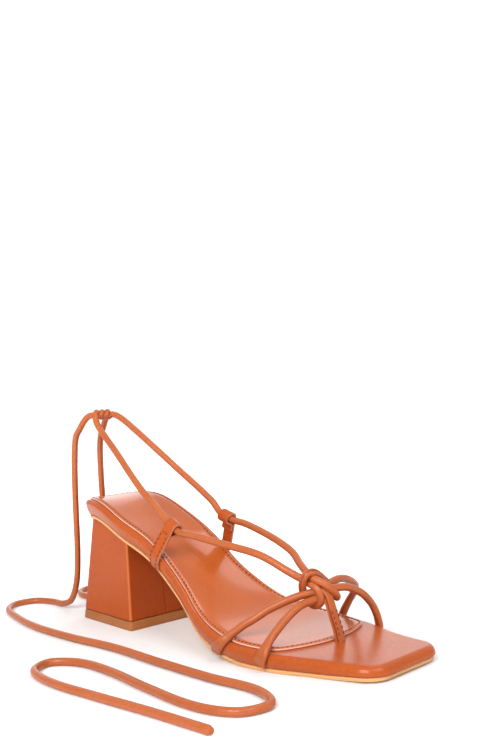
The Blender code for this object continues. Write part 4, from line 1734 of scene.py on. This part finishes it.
CORD_LIE = CORD_RADIUS + 0.1
LATERAL_LOOP = SideLoop("loop_lateral", "side_loop_lateral", Side.LATERAL, 81.2, rise=22.8, inward=5.7,
                        lean=math.radians(25.0), slope=math.radians(25.0))
MEDIAL_LOOP = SideLoop("loop_medial", "side_loop_medial", Side.MEDIAL, 80.7, rise=24.6, inward=2.9,
                       lean=math.radians(28.9), slope=math.radians(18.0))


@dataclass(frozen=True)
class Ties:
    """Both ties, the half-knot behind the ankle and the loose lengths on the floor.

    The exit rows say how far behind, aside and below the half-knot a cord's way out lies.
    """

    last: Last
    wardrobe: Wardrobe
    step: float = 1.6
    knot_station: float = 3.5
    knot_height: float = 120.5
    knot_half_width: float = 6.0
    knot_turns: float = 1.5
    knot_radius: float = 1.5
    knot_steps: int = 14
    loose_length: float = 0.735
    exit_rows: Route = ((5.5, 7.2, 1.2), (9.0, 8.0, 4.0), (12.5, 8.6, 8.0))
    loose_lead: float = 6.0
    ties: tuple[Tie, ...] = (
        Tie("tie_lateral", LATERAL_LOOP,
            ((171.8, 3.4, 28.3), (170.1, 1.7, 26.1), (170.5, -0.1, 24.6), (172.8, -1.3, 23.5),
             (176.3, -1.9, 23.5), (179.2, -2.2, 24.9), (180.3, -2.3, 26.7), (180.1, -2.7, 29.4),
             (178.5, -3.1, 31.8), (175.8, -3.3, 33.3), (172.3, -3.0, 34.2), (169.8, -4.0, 35.7),
             (165.7, -6.6, 38.4), (149.9, -11.3, 46.4), (129.3, -15.5, 50.8), (105.1, -18.0, 54.7)),
            ((75.6, -16.9, 68.4), (60.1, -15.4, 77.7), (30.0, -10.2, 98.6), (14.7, -7.2, 108.2),
             (8.2, -7.2, 115.0)),
            "loose_tie_medial", "tie_end_medial",
            ((-15.0, 9.4, 99.0), (-16.0, 9.8, 80.0), (-16.0, 10.2, 58.0), (-16.0, 10.5, 36.0),
             (-18.0, 11.0, 18.0), (-24.0, 11.5, 6.5), (-35.0, 12.0, 2.6)),
            ((-50.0, 13.0), (-63.0, 20.0), (-67.0, 33.0), (-57.0, 45.0), (-35.0, 51.0), (0.0, 52.0),
             (40.0, 50.0), (75.0, 49.6), (96.0, 50.4), (105.0, 51.3), (111.2, 54.0), (113.7, 60.0),
             (111.2, 66.0), (105.0, 68.7), (70.0, 68.0), (10.0, 66.4), (-52.0, 67.8), (-58.2, 70.5),
             (-60.7, 76.5), (-58.2, 82.5), (-52.0, 85.2), (-15.0, 85.0), (21.0, 85.2), (27.2, 87.9),
             (29.7, 93.9), (27.2, 99.9), (21.0, 102.6), (-20.0, 103.0), (-66.0, 101.0))),
        Tie("tie_medial", MEDIAL_LOOP,
            ((175.6, 7.1, 30.2), (177.5, 8.7, 27.6), (180.0, 8.3, 26.1), (182.4, 6.2, 27.0),
             (183.5, 3.6, 29.2), (182.9, 0.9, 31.9), (181.0, -1.3, 34.1), (177.9, -2.6, 35.6),
             (174.7, -2.9, 36.9), (171.7, -2.2, 38.5), (168.1, -0.3, 39.7), (162.4, 3.0, 41.4),
             (153.8, 7.4, 45.2), (141.7, 10.9, 49.0), (127.5, 14.3, 52.4), (108.2, 18.2, 56.1)),
            ((79.8, 19.3, 67.9), (54.2, 15.7, 86.5), (22.9, 8.6, 111.2), (11.0, 7.4, 118.4)),
            "loose_tie_lateral", "tie_end_lateral",
            ((-15.0, -9.4, 99.0), (-16.0, -9.8, 80.0), (-16.0, -10.2, 58.0), (-16.0, -10.5, 36.0),
             (-18.0, -11.0, 18.0), (-24.0, -11.5, 6.5), (-35.0, -11.0, 2.6)),
            ((-50.0, -10.0), (-63.0, -15.0), (-65.0, -28.0), (-54.0, -39.0), (-30.0, -47.0), (5.0, -54.0),
             (45.0, -56.0), (85.0, -55.0), (125.0, -58.0), (165.0, -60.0), (195.0, -60.0), (212.0, -69.0),
             (209.0, -83.0), (190.0, -89.0), (155.0, -86.0), (120.0, -81.0), (94.0, -81.0), (81.0, -90.0),
             (88.0, -102.0), (112.0, -107.0), (145.0, -106.0), (180.0, -104.0), (216.0, -103.0))),
    )

    def half_knot(self, side: int) -> np.ndarray:
        """One cord's way through the half-knot: round the other cord, from its own side to the far side.

        Args:
            side: Sign of the cord's own side.

        Returns:
            Middle line of the cord.
        """
        share = np.linspace(0.0, 1.0, self.knot_steps + 1)
        angle = -2.0 * math.pi * self.knot_turns * side * share
        return np.stack((self.knot_station + self.knot_radius * np.cos(angle),
                         side * self.knot_half_width * (1.0 - 2.0 * share),
                         self.knot_height + self.knot_radius * np.sin(angle)), -1)

    def exits(self, side: int) -> np.ndarray:
        """The way out of the half-knot, on the far side."""
        behind, aside, below = np.array(self.exit_rows).T
        return np.stack((self.knot_station - behind, -side * aside, self.knot_height - below), -1)

    def fixed_line(self, tie: Tie) -> np.ndarray:
        """Middle line of a tie from the front knot to the end of its way out of the half-knot.

        Args:
            tie: The tie.

        Returns:
            The line.
        """
        side = tie.loop.side.value
        points = np.concatenate((tie.from_knot, tie.loop.tie_points(self.last), tie.to_ankle,
                                 self.half_knot(side), self.exits(side)))
        return Line.smooth(points, self.step)

    def loose_line(self, tie: Tie) -> np.ndarray:
        """Middle line of a tie's loose length, from the half-knot's way out to the bare end.

        Args:
            tie: The tie.

        Returns:
            The line.
        """
        leaving = self.fixed_line(tie)
        lead = leaving[-1] + unit(leaving[-1] - leaving[-2]) * self.loose_lead
        lying = [(*spot, CORD_LIE) for spot in tie.lie]
        return Line.smooth((leaving[-1], lead, *tie.hang, *lying), self.step)

    def loose_lengths(self) -> None:
        """Free lengths of the ties: limp cords that hang behind the heel and lie along the floor."""
        for tie in self.ties:
            line = self.loose_line(tie)
            piece = Strap.make(tie.loose_name, ROLLED, line, (0.0, 0.0, 1.0), round_ends=(False, True))
            self.wardrobe.dress(piece, Slot.LEATHER, (CORD,), tie.loose_node)
            path = place(line)
            tuple(path[0])

    def build(self) -> None:
        """Make the fixed stretches of the ties and their loops."""
        for tie in self.ties:
            piece = Strap.make(tie.name, ROLLED, self.fixed_line(tie), (0.0, 0.0, 1.0))
            self.wardrobe.dress(piece, Slot.LEATHER, (CORD,), "upper_ankle_sling")
            tie.loop.build(self.last, self.wardrobe)


@dataclass(frozen=True)
class Softbox:
    """A square light: its place and target in metres, side length and power."""

    name: str
    at: Row
    target: Row
    size: float
    power: float


@dataclass(frozen=True)
class Studio:
    """Camera, pale floor and soft light."""

    eye: Row = (471.9, -314.4, 115.4)
    yaw: float = math.radians(47.27)
    pitch: float = math.radians(-2.94)
    roll: float = math.radians(-3.52)
    focal_pixels: float = 900.0
    frame_height: float = 736.0
    sensor: float = 36.0
    clip_start: float = 0.01
    floor_reach: float = 12.0
    floor_colour: Colour = (0.80, 0.80, 0.80)
    floor_roughness: float = 0.8
    floor_glow: Colour = (0.06, 0.06, 0.06)
    glow_stretch: Row = (1.0, 1.5, 1.0)
    glow_from: float = 100.0
    glow_to: float = 330.0
    sky: Colour = (1.0, 1.0, 1.0)
    horizon: float = 1.08
    zenith: float = 0.45
    sky_low: float = math.sin(math.radians(20.0))
    sky_high: float = math.sin(math.radians(60.0))
    flank_dim: float = 0.6
    flank_low: float = 0.15
    flank_high: float = 0.75
    rear_dim: float = 0.7
    rear_high: float = 0.6
    softboxes: tuple[Softbox, ...] = (
        Softbox("key", (0.55, -1.30, 1.00), (0.0, 0.0, 0.04), 1.0, 29.0),
        Softbox("fill", (1.15, -0.10, 1.25), (0.0, 0.0, 0.04), 1.0, 12.0),
        Softbox("back", (-1.50, 1.40, 0.45), (0.0, 0.0, 0.04), 1.6, 6.0),
        Softbox("side", (-0.20, 0.80, 1.45), (0.0, 0.0, 0.04), 0.5, 3.0),
    )

    def camera(self) -> None:
        """Camera at the photograph's angle to the shoe."""
        ahead = Vector((-math.sin(self.yaw), math.cos(self.yaw), 0.0))
        forward = ahead * math.cos(self.pitch) - Vector((0.0, 0.0, math.sin(self.pitch)))
        level = Vector((math.cos(self.yaw), math.sin(self.yaw), 0.0))
        upright = level.cross(forward)
        right = level * math.cos(self.roll) + upright * math.sin(self.roll)
        up = upright * math.cos(self.roll) - level * math.sin(self.roll)
        lens = bpy.data.cameras.new("camera")
        lens.sensor_width = self.sensor
        lens.lens = self.sensor * self.focal_pixels / self.frame_height
        lens.clip_start = self.clip_start
        camera = bpy.data.objects.new("camera", lens)
        bpy.context.collection.objects.link(camera)
        turned = Matrix((right, up, -forward)).transposed().to_4x4()
        camera.matrix_world = Matrix.Translation(place(self.eye)) @ turned
        bpy.context.scene.camera = camera

    def floor(self) -> None:
        """Plain pale floor that fades to white far from the shoe."""
        Bench.free()
        bpy.ops.mesh.primitive_grid_add(x_subdivisions=4, y_subdivisions=4, size=self.floor_reach)
        floor = bpy.context.object
        floor.name = "floor"
        graph = Graph.material("pale_floor")
        away = graph.vector("LENGTH", graph.place(self.glow_stretch), output="Value")
        glow = graph.blend(self.floor_glow, self.floor_colour, away.rise(self.glow_from, self.glow_to))
        graph.set(Base_Color=self.floor_colour, Roughness=self.floor_roughness)
        graph.set(Emission_Color=glow, Emission_Strength=1.0)
        floor.data.materials.append(graph.owner)
        floor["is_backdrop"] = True

    def light(self) -> None:
        """White surroundings and soft boxes."""
        graph = Graph(bpy.data.worlds.new("studio"), "Background")
        direction = graph.node("ShaderNodeTexCoord", output="Generated")
        upward = graph.node("ShaderNodeSeparateXYZ", {}, {0: direction}, "Z")
        dimmed = upward.rise(self.sky_low, self.sky_high) * (self.horizon - self.zenith)
        flanks = (math.cos(self.yaw), math.sin(self.yaw), 0.0)
        aside = graph.vector("DOT_PRODUCT", direction, flanks, output="Value")
        lit = 1.0 - (aside * aside).rise(self.flank_low, self.flank_high) * self.flank_dim
        rearward = (math.sin(self.yaw), -math.cos(self.yaw), 0.0)
        behind = graph.vector("DOT_PRODUCT", direction, rearward, output="Value")
        strength = (self.horizon - dimmed) * lit * (1.0 - behind.rise(0.0, self.rear_high) * self.rear_dim)
        backdrop = graph.node("ShaderNodeLightPath", output="Is Camera Ray")
        graph.set(Color=self.sky, Strength=strength + backdrop * (self.horizon - strength))
        bpy.context.scene.world = graph.owner
        for box in self.softboxes:
            lamp = bpy.data.lights.new(box.name, "AREA")
            lamp.size = box.size
            lamp.energy = box.power
            light = bpy.data.objects.new(box.name, lamp)
            bpy.context.collection.objects.link(light)
            light.location = box.at
            light.rotation_euler = (Vector(box.target) - Vector(box.at)).to_track_quat("-Z", "Y").to_euler()

    def build(self) -> None:
        """Set the studio up."""
        self.camera()
        self.floor()
        self.light()
        bpy.context.scene.view_settings.view_transform = "Standard"


def write_sizes(cad_box: Sequence[Vector]) -> None:
    """Gather the CAD model's box and the visual model's box; the table is not kept.

    Args:
        cad_box: Lowest and highest corner of the CAD model.
    """
    boxes = {"cad": cad_box, "visual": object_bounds()}
    {name: [list(corner) for corner in box] for name, box in boxes.items()}


def main() -> None:
    """Dress the packed sandal, piece by piece."""
    logging.basicConfig(level=logging.INFO, format="%(name)s: %(message)s")
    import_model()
    cad_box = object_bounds()
    last, wardrobe = Last(), Wardrobe()
    Studio().build()
    ties = Ties(last, wardrobe)
    ties.loose_lengths()
    ties.build()
    Sole(last, wardrobe).build()
    Heel(last, wardrobe).build()
    ToeStraps(wardrobe).build()
    Bench.free()
    write_sizes(cad_box)


if __name__ == "__main__":
    main()
